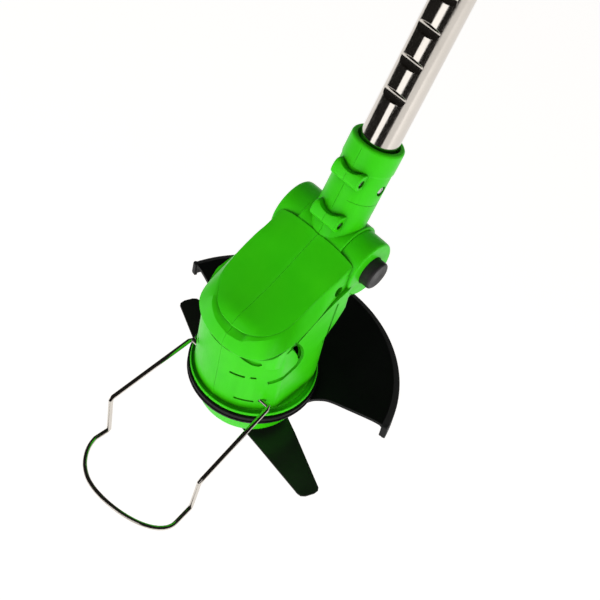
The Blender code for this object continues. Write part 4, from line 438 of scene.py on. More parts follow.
def groove_depth(index, side):
    """How deep the dark groove under the panel's nose is, station by station."""
    station = index / PER
    if side > 0:
        return 0.35 + 2.5 * max(0, min(1, (1.45 - station) / 0.25))
    return 0.2 + 2.65 * max(0, min(1, (4.9 - station) / 2))


def shifted(point, side):
    """The panel's edge, as the photograph has it: a little further left along both its long sides."""
    share = max(0, 1 - ((point.y - 1) / 22) ** 2)
    return Vector((point.x * (1 + share * (-0.05 if side > 0 else 0.075)), point.y, point.z))


def upper_body():
    """The overhanging band, the groove and the crowned panel above it, as one loft."""
    crease, low, step, edge = (smooth_path(line, PER) for line in (CREASE, CREASE_LEFT, STEP, PANEL_EDGE))
    steps, edges = ([[shifted(p, side) for p in line] for side in (1, -1)] for line in (step, edge))

    def band(change):
        pairs = zip((crease, low), steps)
        return both_sides(*([change(p, q) for p, q in zip(line, inner)] for line, inner in pairs))

    rings = [
        band(lambda p, q: Vector((p.x * 0.92, p.y * 0.92, 44))),
        band(lambda p, q: Vector((p.x * 0.955, p.y * 0.955, p.z - 0.5))),
        band(lambda p, q: Vector((p.x * 0.994, p.y * 0.994, p.z - 0.2))),
        band(lambda p, q: Vector((p.x, p.y, p.z + 0.5))),
        band(lambda p, q: p.lerp(q, 0.5) * 1.006),
        band(lambda p, q: p.lerp(q, 0.93)),
    ]
    gaps = [p.z - q.z for p, q in zip(edge, step)]
    for lines, rise in ((steps, 0.12), (edges, -0.3)):
        halves = []
        for side, line in zip((1, -1), lines):
            scales = [1 - groove_depth(index, side) / 34 for index in range(len(line))]
            halves.append([Vector((p.x * scale, p.y * scale, p.z + rise * gap))
                           for p, scale, gap in zip(line, scales, gaps)])
        rings.append(both_sides(*halves))
    rings.append(both_sides(*(
        [p - Vector((0, 0, 0.2 * (p.z - q.z))) for p, q in zip(*pair)] for pair in zip(edges, steps)
    )))

    back, nose_to_back, ridge = 37, 68.8, 60

    def crowned(point, share):
        """A point of the panel's edge moved in and up towards the seam."""
        centre_y = back - (back - point.y) * ridge / nose_to_back
        y = point.y + (centre_y - point.y) * share
        crown = 1 - (1 - share) ** 3.4
        return Vector((point.x * (1 - share), y, point.z + (between(SEAM, y) - point.z) * crown))

    for share in (0, 0.012, 0.035, 0.08, 0.15, 0.26, 0.4, 0.57, 0.75, 0.9, 1):
        rings.append(both_sides(*([crowned(point, share) for point in line] for line in edges)))
    return loft(rings, closed=False)


def head_plan(radius, right, left, depth, corner, lean):
    """Seen from above: round at the front, a box with round corners at the back, leaning in on the left."""
    first, last = degrees(acos(left / radius)), degrees(acos(right / radius))
    far = 21
    plan = arc((0, 0), radius, 180 + first, 360 - last, 40)
    plan += arc((right - corner, depth - corner), corner, 0, 90, 10)
    return plan + arc((far + lean - left, depth - far), far, 90, 180, 10)


def lower_body():
    """The wall below the overhang, its right rear corner filling out towards the ear."""
    rings = []
    corners = ((-0.6, 37.3, 24), (3, 37.3, 24), (38, 37.45, 24), (44, 37.5, 19), (50, 37.5, 13),
               (56, 37.5, 8), (61, 37.5, 5), (104, 37.7, 5))
    for z, radius, corner in corners:
        plan = head_plan(radius, radius - 3, radius - 0.3, radius + 1, corner, 6)
        rings.append([(x - 1.2, y, z) for x, y in plan])
    top = [(p[1], p[2] - 1.2) for p in CREASE_LEFT]
    side_view = [(-60, -2), (-60, 50.8)] + top + [(41, 80), (60, 80), (60, -2)]
    return keep(loft(rings), prism(side_view, -60, 60, "X"))


def surface_path(points):
    """Points given by angle from the front and height, on the head's right wall."""
    path = []
    for angle, z in points:
        turn = radians(angle)
        radius = 36.9 + 0.004 * z
        path.append((min(radius * sin(turn), radius - 3.2), -radius * cos(turn), z))
    return path


def slot_cutter(start, end, low_start, low_end, tall):
    """A slot through the round wall, which may climb from one end to the other."""
    inner, outer = 29, 44
    rings = []
    count = 6
    for i in range(count + 1):
        turn = radians(start - 90 + (end - start) * i / count)
        low = low_start + (low_end - low_start) * i / count
        corners = ((inner, low), (outer, low), (outer, low + tall), (inner, low + tall))
        rings.append([(radius * cos(turn), radius * sin(turn), z) for radius, z in corners])
    return soften(loft(rings), tall * 0.3, 2, 50)


def head():
    """Both halves of the motor housing."""
    lip = lathe(
        [(20, -1.2), (40.5, -1.2), (40.8, -0.9), (40.8, 0.9), (40.5, 1.2), (40.1, 1.2), (39.8, 0.9),
         (39.6, 0), (36.9, -0.2), (36.2, 0.6), (20, 0.6)],
        steps=144,
    )
    ears = lathe(
        [(0, -33.87), (17.6, -33.87), (18.5, -33.6), (19.1, -33), (19.38, -32.1), (19.5, -30.5),
         (19.52, -26), (19.4, 26), (19.3, 29.5), (19.15, 31.2), (18.9, 32), (18.4, 32.5), (17.6, 32.7),
         (0, 32.7)],
        (0, *PIVOT), "X", 100,
    )
    saddle_side = [(18, 72), (30, 60), (38, 60.5), (46, 66), (50, 72), (50, 92), (45, 95), (38, 93), (26, 88)]
    saddle = soften(prism(saddle_side, -30.6, 30.6, "X"), 3, 5, 30)
    whole = unite(ears, saddle, upper_body(), lower_body(), lip)

    room = loft([[(x, y, z) for x, y in head_plan(33.6, 29.4, 31, 34.4, 19, 1.5)] for z in (3.4, 50)])
    crown_side = [(-30, 40), (-30, 63), (-24, 67), (-12, 69), (0, 75), (16, 84), (27, 89), (27, 62),
                  (34, 58), (34, 40)]
    crown_room = keep(prism(crown_side, -26, 26, "X"), rod(31.5, (0, 0, 0), 120, steps=64))
    slot = rod(21.5, (-18, *PIVOT), 36, "X", 96)
    stem_room = rod(17.1, (0, 0, 0), 76)
    stem_room.transform(STEM_IN_HEAD)
    pins = rod(BORE, (-50, *WIRE_PIVOT), 100, "X", 24)
    bearing = rod(8.3, (0, 0, -0.2), 8)
    spindle = rod(6, (0, 0, -10), 20)
    whole = cut(whole, room, crown_room, slot, stem_room, pins, bearing, spindle)

    drop = [(19, 50.8), (26, 48), (33, 46), (39, 45.8), (42.5, 47.2), (41, 49.2), (34, 50.2), (26, 50.9)]
    outward = Vector((sin(radians(31)), -cos(radians(31)), 0))
    drop_rings = [[Vector(p) - outward * depth for p in surface_path(drop)] for depth in (1.6, -3)]
    drop_cut = soften(loft(drop_rings), 0.6, 2, 50)
    run = smooth_path(
        [(28.8, -22.7, 28.8), (31, -19.4, 30), (32.8, -15.4, 31.6), (33.3, -9.4, 33), (33.3, -3.4, 34.6),
         (33.3, -0.6, 38.4), (33.3, -1, 43.4), (33.3, -3.2, 49.6), (33.3, -6.8, 56), (33.3, -11.2, 62.4)],
        5,
    )
    groove = sweep(run, [1.5 + 1.3 * min(1, i / 32) for i in range(len(run))])
    deep = sweep([(x - 2.6, y, z) for x, y, z in run[24:43]], 2.1)
    under = smooth_path(
        [(17, -33.4, 51.4), (24, -29.2, 53.6), (28.8, -25.6, 57.6), (31.9, -21.6, 62.4),
         (33.2, -16.5, 64.8)],
        5,
    )
    shadow = sweep(under, [0.7 + 1.3 * min(1, i / 10) for i in range(len(under))])
    rear_line = smooth_path(
        [(33.3, 25.4, 73), (33.3, 24.4, 64), (33.2, 23.4, 54), (32.4, 22.6, 44), (31.8, 22, 35)], 5
    )
    right_tools = [
        sweep(rear_line, 0.9),
        slot_cutter(13, 29, 30.9, 31.4, 1.7),
        slot_cutter(34, 40, 32.2, 32.4, 1.6),
        slot_cutter(22, 42, 7.7, 7.9, 1.5),
        drop_cut, groove, deep, shadow,
        rod(3.5, (14, *RIGHT_SCREW), 60, "X", 32),
        rod(BORE, (0, *RIGHT_SCREW), 60, "X", 24),
        rod(9.9, (22, *PIVOT), 20, "X", 64),
        rod(12.7, (17, *PIVOT), 12.3, "X"),
    ]
    left_tools = [slot_cutter(-50, -36, 23.6, 23, 1.9), slot_cutter(-82, -68, 34, 34, 12)]
    for place in LEFT_SCREWS:
        left_tools += [rod(3.6, (-14, *place), 60, "-X", 32), rod(BORE, (0, *place), 60, "-X", 24)]
    right = cut(side_of(whole, 1), *right_tools)
    left = cut(side_of(whole, -1), *left_tools)
    left = unite(left, rod(9, (-19, *PIVOT), 8.7, "X"))
    whole.free()
    add("motor_housing_right", right, "head", GREEN, ["head_shell_right"])
    add("motor_housing_left", left, "head", GREEN, ["head_shell_left"])


def guard():
    """The fan-shaped blade guard with its skirt, its matt rim and its collar."""
    centre_y = 6
    disc = lathe(
        [(20, -7.5), (87.2, -7.5), (88, -7.6), (91.9, -9.6), (92.4, -10.5), (92.4, -19.4), (91.9, -20),
         (90.1, -20), (89.6, -19.4), (89.6, -12.3), (86.8, -10), (20, -10)],
        (0, centre_y, 0), steps=180,
    )
    front = [(39, 2), (41, 11), (44.6, 16.4), (50, 20.6), (62.5, 25.4), (78, 31), (86.9, 33), (100, 37.4)]
    front = smooth_outline(front, 4)
    fan = front + [(100, 110), (-100, 110)] + [(-x, y) for x, y in reversed(front)]
    plate = keep(disc, prism(fan, -30, 0))
    ends = []
    for side in (1, -1):
        start, reach = Vector((88.1, 33)), Vector((84.2, 31.6))
        across = Vector((reach.y - start.y, start.x - reach.x)).normalized() * -2.3
        outline = [(side * p.x, p.y) for p in (start, reach, reach - across, start - across)]
        ends.append(soften(prism(outline, -19.2, -8.4), 0.7, 3, 60))
    collar = lathe(
        [(28, -1.5), (41.4, -1.5), (42, -1.8), (42.2, -2.2), (42.2, -2.8), (41.6, -3.1), (41.6, -5.6),
         (42.2, -5.9), (42.2, -7), (41.8, -7.9), (41, -8.4), (40, -8.4), (40, -4), (28, -4)],
        steps=144,
    )
    whole = unite(plate, *ends, collar)
    tools = [rod(39.9, (0, 0, -30), 26, steps=96), rod(29, (0, 0, -30), 40, steps=72)]
    tools += [rod(BORE, (x, y, -20), 40, steps=20) for x, y in GUARD_SCREWS]
    whole = cut(whole, *tools)
    for face in whole.faces:
        middle = face.calc_center_median()
        on_rim = hypot(middle.x, middle.y - centre_y) > 87.6 and face.normal.z > 0.3 and middle.y > 30
        on_collar = 41.3 < hypot(middle.x, middle.y) < 41.8 and -5.6 < middle.z < -3
        face.material_index = 1 if on_rim or on_collar else 0
    add("blade_guard", whole, "head", [BLACK, GRAINED], ["guard"])


def rotor():
    """The cup, the blade and what clamps it."""
    cup = lathe(
        [(2.8, -29.3), (30.2, -29.3), (31.4, -29), (32.3, -28.3), (32.9, -27.3), (33.9, -25), (35.6, -15),
         (36, -12.5), (36, -9.4), (35.6, -9), (34.2, -9), (33.9, -9.5), (31, -26.5), (30.2, -27.1),
         (9.6, -27.1), (9, -26.5), (9, -5), (8.5, -4.5), (2.8, -4.5)],
        steps=120,
    )
    add("spinning_cup", cup, "rotor", GREEN, ["rotor_cup"])
    arm = [(10, -17.6), (40, -13), (79.8, -7.4), (82.2, -6.2), (83.6, -3.4), (84.2, 2.6), (83.4, 5.8),
           (81.6, 7.2), (40, 13.9), (10, 17.6)]
    outline = arm + [(-x, -y) for x, y in arm]
    turn = Matrix.Rotation(radians(-16.7), 2)
    plate = prism([turn @ Vector(point) for point in outline], -36.6, -35)
    plate = soften(plate, 0.55, 2, 50, lambda edge: abs(edge.verts[0].co.z - edge.verts[1].co.z) < 0.01)
    plate = cut(plate, rod(5, (0, 0, -45), 20))
    add("two_armed_blade", plate, "rotor", BLADE, ["cutter_blade"])
    flange = lathe([(2.8, -34.7), (13.4, -34.7), (14, -34.1), (14, -30.2), (13.4, -29.6), (2.8, -29.6)])
    add("inner_flange", flange, "rotor", ZINC, ["blade_flange"])
    washer = lathe([(2.8, -38.9), (10.4, -38.9), (11, -38.4), (11, -37.4), (10.6, -36.9), (2.8, -36.9)])
    add("outer_washer", washer, "rotor", ZINC, ["blade_washer"])
    hexagon = prism(arc((0, 0), 9, 0, 300, 5), -46, -39.2)
    chamfer = lathe([(0, -46), (7.6, -46), (9.2, -44.6), (9.2, -40.2), (8.4, -39.2), (0, -39.2)])
    bolt = cut(keep(hexagon, chamfer), rod(2.8, (0, 0, -43.3), 20))
    add("hexagon_bolt", bolt, "rotor", ZINC, ["blade_bolt"])


def wire_bow():
    """The sprung wire that marks the blade's reach."""
    half = [(24.5, *WIRE_PIVOT), (33.4, *WIRE_PIVOT), (34.4, -25.6, 9.4), (39.5, -85, -2.6),
            (39.3, -86.6, -4.2), (37.3, -87.6, -32.4), (37.5, -88.8, -34), (39.3, -102.6, -33.6)]
    bow = []
    for i in range(1, 17):
        angle = radians(90 * i / 16)
        out = sin(angle)
        x = 39.5 * cos(angle) + 1.6 * sin(2 * angle)
        bow.append((x, -103.5 - 23.5 * out, -33.5 + 5.5 * out))
    worn = [(38, -98.8, -33.7), (36, -105, -32.9), (31.8, -112, -31.4), (25.5, -118.8, -29.9),
            (17.5, -123.8, -28.9), (9, -126.3, -28.2), (1, -127, -28)]
    other = half[:-1] + smooth_path(worn, 3)
    path = half + bow + [(-x, y, z) for x, y, z in reversed(other)]
    add("wire_bow", sweep(path, 1.5, 20), "wire_guard", CHROME, ["wire_guard"])


# Screws


def screw(name, body, at, axis, length, nodes=(), head=3.2, tall=2.2, shank=1.5, slotted=False):
    """A pan-head screw with its recess, as long as the one in the frame."""
    end = tall + length
    profile = [(0, 0), (head * 0.55, 0.05), (head * 0.85, 0.4), (head, 1), (head, tall - 0.15),
               (head - 0.15, tall), (shank, tall), (shank, end - 1.6), (0.3, end)]
    body_mesh = lathe([(radius, -height) for radius, height in profile] + [(0, -end)], steps=40)
    width, reach = head * 0.11, head * 0.62
    floor = -tall * 0.55
    tools = [block((-width, -reach, floor), (width, reach, 1))]
    if not slotted:
        tools.append(block((-reach, -width, floor), (reach, width, 1)))
    body_mesh = cut(body_mesh, *tools)
    body_mesh.transform(Matrix.Translation(at) @ ALONG[axis] @ Matrix.Translation((0, 0, tall)))
    add(name, body_mesh, body, ZINC, nodes)


def screws():
    """Every screw of the head, the neck, the handle, the clamp and the battery."""
    screw("housing_screw_1", "head", (14.3, *RIGHT_SCREW), "X", 22, ["head_screw_1"])
    for index, place in enumerate(LEFT_SCREWS, 2):
        screw(f"housing_screw_{index}", "head", (-14.3, *place), "-X", 22, [f"head_screw_{index}"])
    for index, (x, y) in enumerate(GUARD_SCREWS, 1):
        screw(f"guard_screw_{index}", "head", (x, y, -4.1), "-Z", 6.2)
    for index, x in enumerate((12, -12), 1):
        screw(f"motor_screw_{index}", "head", (x, 0, 1.3), "-Z", 5.6, head=2.8, tall=2, shank=1.3)
    for index, z in enumerate(LUGS, 1):
        screw(f"lug_screw_{index}", "pole", (7.6, -17, z), "X", 14, [f"neck_screw_{index}"],
              head=2.3, shank=1.2)
    screw("tube_holding_screw", "pole", (14.3, 0, TUBE_SCREW), "X", 5.1, ["tube_screw_1"],
          head=2.7, tall=1.8, slotted=True)
    for index, place in enumerate(HANDLE_SCREWS, 1):
        screw(f"grip_screw_{index}", "handle", (8.3, *place), "X", 15, [f"handle_screw_{index}"])
    for index, x in enumerate(CLAMP_SCREWS, 1):
        screw(f"clamp_screw_{index}", "handle", (x, -5.1, CLAMP), "-Y", 9.6)
    for index, (x, y) in enumerate(LID_SCREWS, 1):
        screw(f"lid_screw_{index}", "battery", (x, y, 970.9), "Z", 11)


# Tilt button, neck and tube


def tilt_button():
    """The button in the right ear, whose hexagonal shank locks the tilt."""
    button = lathe(
        [(0, 39.3), (4, 39.35), (7.6, 39.6), (8.6, 39.45), (9.2, 39), (9.5, 38.3), (9.5, 29), (12.4, 29),
         (12.4, 25), (0, 25)],
        (0, PIVOT_Y, 0), "X", 96,
    )
    hexagon = prism(arc((PIVOT_Y, 0), 14 / sqrt(3), 0, 300, 5), 9, 26, "X")
    button = unite(button, soften(hexagon, 0.4, 2, 50))
    add("push_button", button, "tilt_button", BUTTON, ["tilt_button"])


def neck():
    """Both halves of the neck: barrel, stem, lugs and collar."""
    stem = lathe(
        [(0, 75.4), (13.6, 75.4), (14, 76), (15.6, 76), (16.5, 75.6), (17.05, 74.9), (17.2, 74),
         (17.2, 60.6), (16.9, 59.6), (16.6, 58.6), (16.6, 0), (0, 0)],
        steps=96,
    )
    barrel = rod(21.2, (-17.7, PIVOT_Y, 0), 35.4, "X", 96, 0.5)
    lugs = []
    for z in LUGS:
        outline = [(-13, z - 5.6), (-18.6, z - 5.2), (-20.6, z - 3.6), (-21.2, z - 1), (-20.9, z + 2.2),
                   (-20, z + 4.4), (-18.6, z + 5.4), (-13, z + 5.4)]
        lug = soften(prism(outline, -10.5, 10.5, "X"), 0.9, 3, 50)
        lugs.append(cut(lug, rod(13.5, (0, -30, z + 16.4), 22, "Y", 64)))
    whole = unite(stem, barrel, *lugs)
    tools = [
        rod(12.8, (0, 0, 25.7), 100, steps=72),
        rod(13.4, (0, 0, 73), 20, steps=72),
        lathe([(13.4, 74.6), (14.2, 76.4), (12, 76.4), (12, 74.6)]),
        rod(2.6, (LEAD_X, PIVOT_Y, -16), 43, steps=24),
        block((-9.4, -7.5, -18.6), (-4.2, 6, -10.8)),
        prism(arc((PIVOT_Y, 0), 14.6 / sqrt(3), 0, 300, 5), 3.7, 30, "X"),
        rod(6, (-3.5, PIVOT_Y, 0), 20, "X", 32),
        rod(9.3, (-30, PIVOT_Y, 0), 20.3, "X", 40),
        rod(3.6, (14, 0, TUBE_SCREW), 20, "X", 32),
        rod(BORE, (0, 0, TUBE_SCREW), 30, "X", 24),
    ]
    for z in LUGS:
        tools += [rod(2.7, (7.3, -17, z - 0.4), 20, "X", 28), rod(1.5, (-7.5, -17, z), 40, "X", 20)]
    ring = lathe([(16.45, 38.8), (18, 38.8), (18, 39.1), (16.45, 39.1)])
    tools += [keep(ring, block((6, -30, 30), (30, 6, 45))), block((14.6, -3.2, 2), (15.4, -2.9, 38))]
    whole = cut(whole, *tools)
    add("neck_right", side_of(whole, 1), "pole", GREEN, ["neck_shell_right"])
    add("neck_left", side_of(whole, -1), "pole", GREEN, ["neck_shell_left"])
    whole.free()


def tube():
    """The chromed tube with its pressed notches."""
    start, end = 26, 448
    whole = lathe(
        [(12.2, start), (12.5, start + 0.3), (12.5, end - 0.3), (12.2, end), (11.5, end), (11.3, end - 0.2),
         (11.3, start + 0.2), (11.5, start)],
        steps=128,
    )
    tools, dents = [], []
    for z in NOTCHES:
        outline = [(-14, z + 4.4), (-12.7, z + 4.1), (-11.8, z + 3.3), (-10.6, z + 2.4), (-9.8, z + 1.2),
                   (-9.6, z - 0.6), (-9.9, z - 2.2), (-10.9, z - 3.3), (-12.4, z - 3.8), (-14, z - 3.9)]
        tools.append(prism(smooth_outline(outline, 3), -13, 13, "X"))
        shell = rod(5.6, (-9.6, -14.2, z), 19.2, "X", 24)
        dents.append(keep(shell, rod(12, (0, 0, z - 7), 14, steps=64)))
    whole = cut(unite(whole, *dents), *tools, rod(BORE, (0, 0, TUBE_SCREW), 30, "X", 24))
    add("notched_tube", whole, "pole", CHROME, ["pole_tube"])


# Handle


# Height along the pole, half the width, front, back and corner radius
STATIONS = [
    (360.5, 19.5, -19.5, 19.5, 19.4), (361.5, 20.2, -20.2, 20.2, 20.1), (363.5, 20.5, -20.5, 20.5, 20.4),
    (365, 20.5, -20.5, 20.5, 20.4), (366.2, 20.5, -22.2, 20.5, 18), (368, 20.5, -27.2, 20.5, 12),
    (369.4, 20.5, -28.3, 20.5, 10), (371, 20.5, -28.5, 20.5, 10), (435, 20.5, -28.5, 20.5, 10),
    (437, 20.5, -28.1, 20.5, 10.4), (440, 20.5, -25.4, 20.5, 14), (443.4, 20.5, -21.4, 20.5, 19),
    (446, 20.5, -20.5, 20.5, 20.4), (704, 20.5, -20.5, 20.5, 20.4), (712, 20.3, -20.4, 20.8, 20),
    (724, 19.5, -19.8, 22.4, 18), (736, 18.8, -19.2, 23.8, 15.8), (745, 18.4, -19, 24, 15),
    (760, 18, -19, 23.4, 14.6), (787, 17.5, -19, 22, 14), (824, 17.5, -19, 21, 14),
    (836, 18.2, -19.4, 21.8, 14), (848, 20.2, -20.4, 24, 14), (856, 23.2, -22, 26.8, 13.4),
    (862, 27.4, -24.4, 30.6, 12.6), (867, 31, -26.6, 34, 11.6), (870.5, 32.6, -27.7, 35.6, 10),
    (874, 33, -28, 36, 9), (891.6, 33, -28, 36, 9), (892.4, 32.5, -27.5, 35.5, 8.6),
]


def rounded_box(half_width, front, back, corner):
    """A rectangle with round corners, seen along the pole."""
    right, left = half_width - corner, corner - half_width
    centres = ((right, back - corner), (left, back - corner), (left, front + corner), (right, front + corner))
    outline = []
    for quarter, centre in enumerate(centres):
        outline += arc(centre, corner, 90 * quarter, 90 * quarter + 90, 9)
    return outline


def section(height, inset=0):
    """The handle's outline at a height, moved inwards."""
    half_width, front, back, corner = (
        between([(row[0], row[i]) for row in STATIONS], height) for i in range(1, 5)
    )
    outline = rounded_box(half_width - inset, front + inset, back - inset, max(corner - inset, 0.5))
    return [(x, y, height) for x, y in outline]


def handle():
    """Both halves of the long handle."""
    whole = loft([section(row[0]) for row in STATIONS])
    low, high = 728.9, 891
    heights = [low] + [row[0] for row in STATIONS if low < row[0] < 890] + [high]
    rings = [section(height, 2.4) for height in heights]
    rings.append([(x, y, 898) for x, y, z in rings[-1]])
    tools = [
        cut(loft(rings), *[rod(4.8, (-60, *place), 120, "X", 32) for place in HANDLE_SCREWS]),
        rod(13, (0, 0, 355), 20, steps=72),
        lathe([(12.9, 361.7), (14.4, 360.2), (12.9, 358)]),
        rod(17.6, (0, 0, 363.1), 363.3, steps=72),
        rod(7.3, (0, 0, 725), 8, steps=32),
        block((-6.5, -60, 372), (6.5, 0, 431), 1.4, 4),
        rod(BORE, (-10.3, *LEVER_PIN), 20.6, "X", 20),
        block((-7, 8, 747.4), (7, 60, 793.9), 1.2, 4),
        rod(BORE, (-12.3, *TRIGGER_PIN), 24.6, "X", 20),
        rod(5.3, LOCK_OFF, 60, "-Y", 40),
        rod(7.1, LOCK_OFF, 16.6, "-Y", 40),
        block((-5.5, -27.4, 880.7), (5.5, -22, 884.5)),
        block((-5.5, -27.4, 886.7), (5.5, -22, 897.4)),
    ]
    for z in (716, 709.5, 703, 696.5, 690):
        tools.append(lathe([(20, z), (21.6, z - 1), (21.6, z + 1)], steps=96))
    whole = cut(whole, *tools)
    recesses = []
    for place in HANDLE_SCREWS:
        recesses += [rod(3.6, (8, *place), 60, "X", 28), rod(BORE, (0, *place), 60, "X", 20)]
    right = cut(side_of(whole, 1), *recesses)
    left = side_of(whole, -1)
    whole.free()
    add("long_handle_right", right, "handle", GREEN, ["handle_shell_right"])
    add("long_handle_left", left, "handle", GREEN, ["handle_shell_left"])


def lock_lever():
    """The lever whose tooth drops into the tube's notches."""
    outline = [(-22.5, 374.6), (-26.2, 374.2), (-27, 375.2), (-27, 407), (-26.5, 409.5), (-26.7, 412),
               (-27, 414), (-27, 428.6), (-26, 430), (-22.5, 430)]
    lever = unite(
        soften(prism(outline, -6, 6, "X"), 0.8, 3, 60),
        block((-4, -24, 380.4), (4, -11, 383.6), 0.5, 2),
        rod(3.5, (-5.9, *LEVER_PIN), 11.8, "X", 40),
    )
    tools = [rod(BORE, (-20, *LEVER_PIN), 40, "X", 24), block((-2.2, -26.3, 400.8), (2.2, -10, 407.2))]
    for z in (416.5, 419.5, 422.5, 425.5):
        tools.append(block((-4.6, -30, z - 0.6), (4.6, -26.4, z + 0.6), 0.25, 2))
    add("height_lock_lever", cut(lever, *tools), "lock_lever", BLACK, ["lock_lever"])


def trigger_and_lock_off():
    """The finger trigger, and the button that frees it."""
    face = [(23.5, 748.6), (26.6, 752), (28.6, 758), (28.8, 766), (28.4, 775), (28.6, 784), (27.2, 790),
            (25.6, 792.2)]
    outline = [(17, 748.6)] + smooth_outline(face, 4) + [(14.5, 792.4), (14.5, 778.4), (17, 756.4)]
    trigger = soften(prism(outline, -6.5, 6.5, "X"), 1.3, 4, 55)
    trigger = cut(trigger, rod(BORE, (-20, *TRIGGER_PIN), 40, "X", 24))
    add("finger_trigger", trigger, "trigger", BLACK, ["trigger"])
    button = lathe(
        [(0, 21.9), (2.6, 22), (3.9, 22.5), (4.5, 22.4), (4.9, 22), (5, 21.5), (5, 16.3), (6.6, 16.3),
         (6.6, 14.5), (0, 14.5)],
        LOCK_OFF, "-Y", 48,
    )
    add("lock_off_push_button", button, "lock_off_button", BLACK, ["lock_off_button"])


def grip_sleeve():
    """The ribbed rubber sleeve of the rear grip."""
    rings = []
    count = 104
    for i in range(count + 1):
        z = GRIP_START + GRIP_LENGTH * i / count
        rib = 0.5 * (1 + cos(2 * pi * (z - GRIP_START) / 4))
        edge = min(z - GRIP_START, GRIP_END - z)
        inset = -1.9 + 0.55 * rib * min(1, edge / 3) + 0.9 * max(0, 1 - edge)
        rings.append(section(z, inset))
    inner = [section(z, -0.3) for z in (GRIP_START, 812, 824, 836, 848, GRIP_END)]
    inner[0] = [(x, y, 799) for x, y, z in inner[0]]
    inner[-1] = [(x, y, 854) for x, y, z in inner[-1]]
    sleeve = cut(loft(rings), loft(inner))
    add("ribbed_grip_sleeve", sleeve, "handle", RUBBER, ["grip_sleeve"])


def front_handle():
    """The loop handle, its clamp, bolt and knob."""
    low, high = CLAMP - 12, CLAMP + 12
    body = lathe([(0, low), (25, low), (25.6, low + 0.3), (25.8, low + 1), (25.8, high - 1),
                  (25.6, high - 0.3), (25, high), (0, high)], steps=96)
    ears = block((-33.8, -5, CLAMP - 7), (33.8, 5, CLAMP + 7), 2, 4)
    hub = block((-11, -41, low + 2), (11, -15, high - 2), 2.4, 4)
    whole = cut(
        unite(body, ears, hub),
        rod(20.8, (0, 0, low - 5), 34, steps=96),
        rod(3.3, (-60, BOLT_Y, CLAMP), 120, "X", 32),
        *[rod(BORE, (x, -20, CLAMP), 40, "Y", 24) for x in CLAMP_SCREWS],
    )
    front = cut(whole.copy(), block((-90, -0.15, low - 10), (90, 90, high + 10)))
    back = cut(whole, block((-90, -90, low - 10), (90, 0.15, high + 10)))
    add("handle_clamp_front", front, "handle", BLACK, ["clamp_front"])
    add("handle_clamp_back", back, "handle", BLACK, ["clamp_back"])

    right = [(15.3, -55), (15.3, -62), (17.4, -68)] + arc((34, -96), 24, 52, 0, 6)
    right += [(58, -103), (58, -111), (58, -119)] + arc((34, -126), 24, 0, -90, 8) + [(22, -150), (10, -150)]
    line = [(x, y, CLAMP) for x, y in right]
    path = smooth_path(line + [(-x, y, z) for x, y, z in reversed(line)], 8)
    radii = []
    for point in path:
        rib = 0.3 * (1 - cos(2 * pi * point.x / 5))
        radii.append(7.5 - (rib if point.y < -148 and abs(point.x) < 35 else 0.4 if point.y > -135 else 0.1))
    loop = sweep(path, radii, 28)
    for x in (11.3, -19.3):
        eye = rod(8.5, (x, BOLT_Y, CLAMP), 8, "X", 48, 0.6)
        tang = block((x + 0.1, -59, CLAMP - 6), (x + 7.9, BOLT_Y, CLAMP + 6), 1.2, 3)
        loop = unite(loop, eye, tang)
    loop = cut(loop, rod(3.3, (-60, BOLT_Y, CLAMP), 120, "X", 32))
    add("loop_handle", loop, "front_handle", RUBBER, ["front_handle"])

    bolt = lathe(
        [(0, 30.6), (2.6, 30.6), (3, 30.2), (3, -19.6), (7, -19.6), (7, -21.2), (6.4, -22.4), (5, -23.2),
         (3, -23.5), (0, -23.6)],
        (0, BOLT_Y, CLAMP), "X", 48,
    )
    add("loop_bolt", bolt, "front_handle", ZINC, ["front_handle_bolt"])
    lobes = []
    for i in range(100):
        angle = 2 * pi * i / 100
        radius = 12 + 2 * cos(5 * angle)
        lobes.append((radius * cos(angle), radius * sin(angle)))
    knob = soften(prism(lobes, 19.6, 33.6, "X", (0, BOLT_Y, CLAMP)), 1.4, 4, 50)
    hub_cap = rod(6.5, (29, BOLT_Y, CLAMP), 4.5, "X", 48, 0.5)
    ring = lathe([(6.6, 32.8), (8, 32.8), (8, 34), (6.6, 34)], (0, BOLT_Y, CLAMP), "X")
    knob = cut(unite(knob, hub_cap), ring, rod(3.3, (14.6, BOLT_Y, CLAMP), 16.3, "X", 32))
    add("lobed_knob", knob, "front_handle_knob", BLACK, ["front_handle_knob"])


# Battery


def case(*rings):
    """A solid with the battery's outline, moved inwards by so much at each height."""
    return loft([
        [(x, y, height) for x, y in rounded_box(33 - inset, -28 + inset, 36 - inset, max(9 - inset, 1))]
        for height, inset in rings
    ])


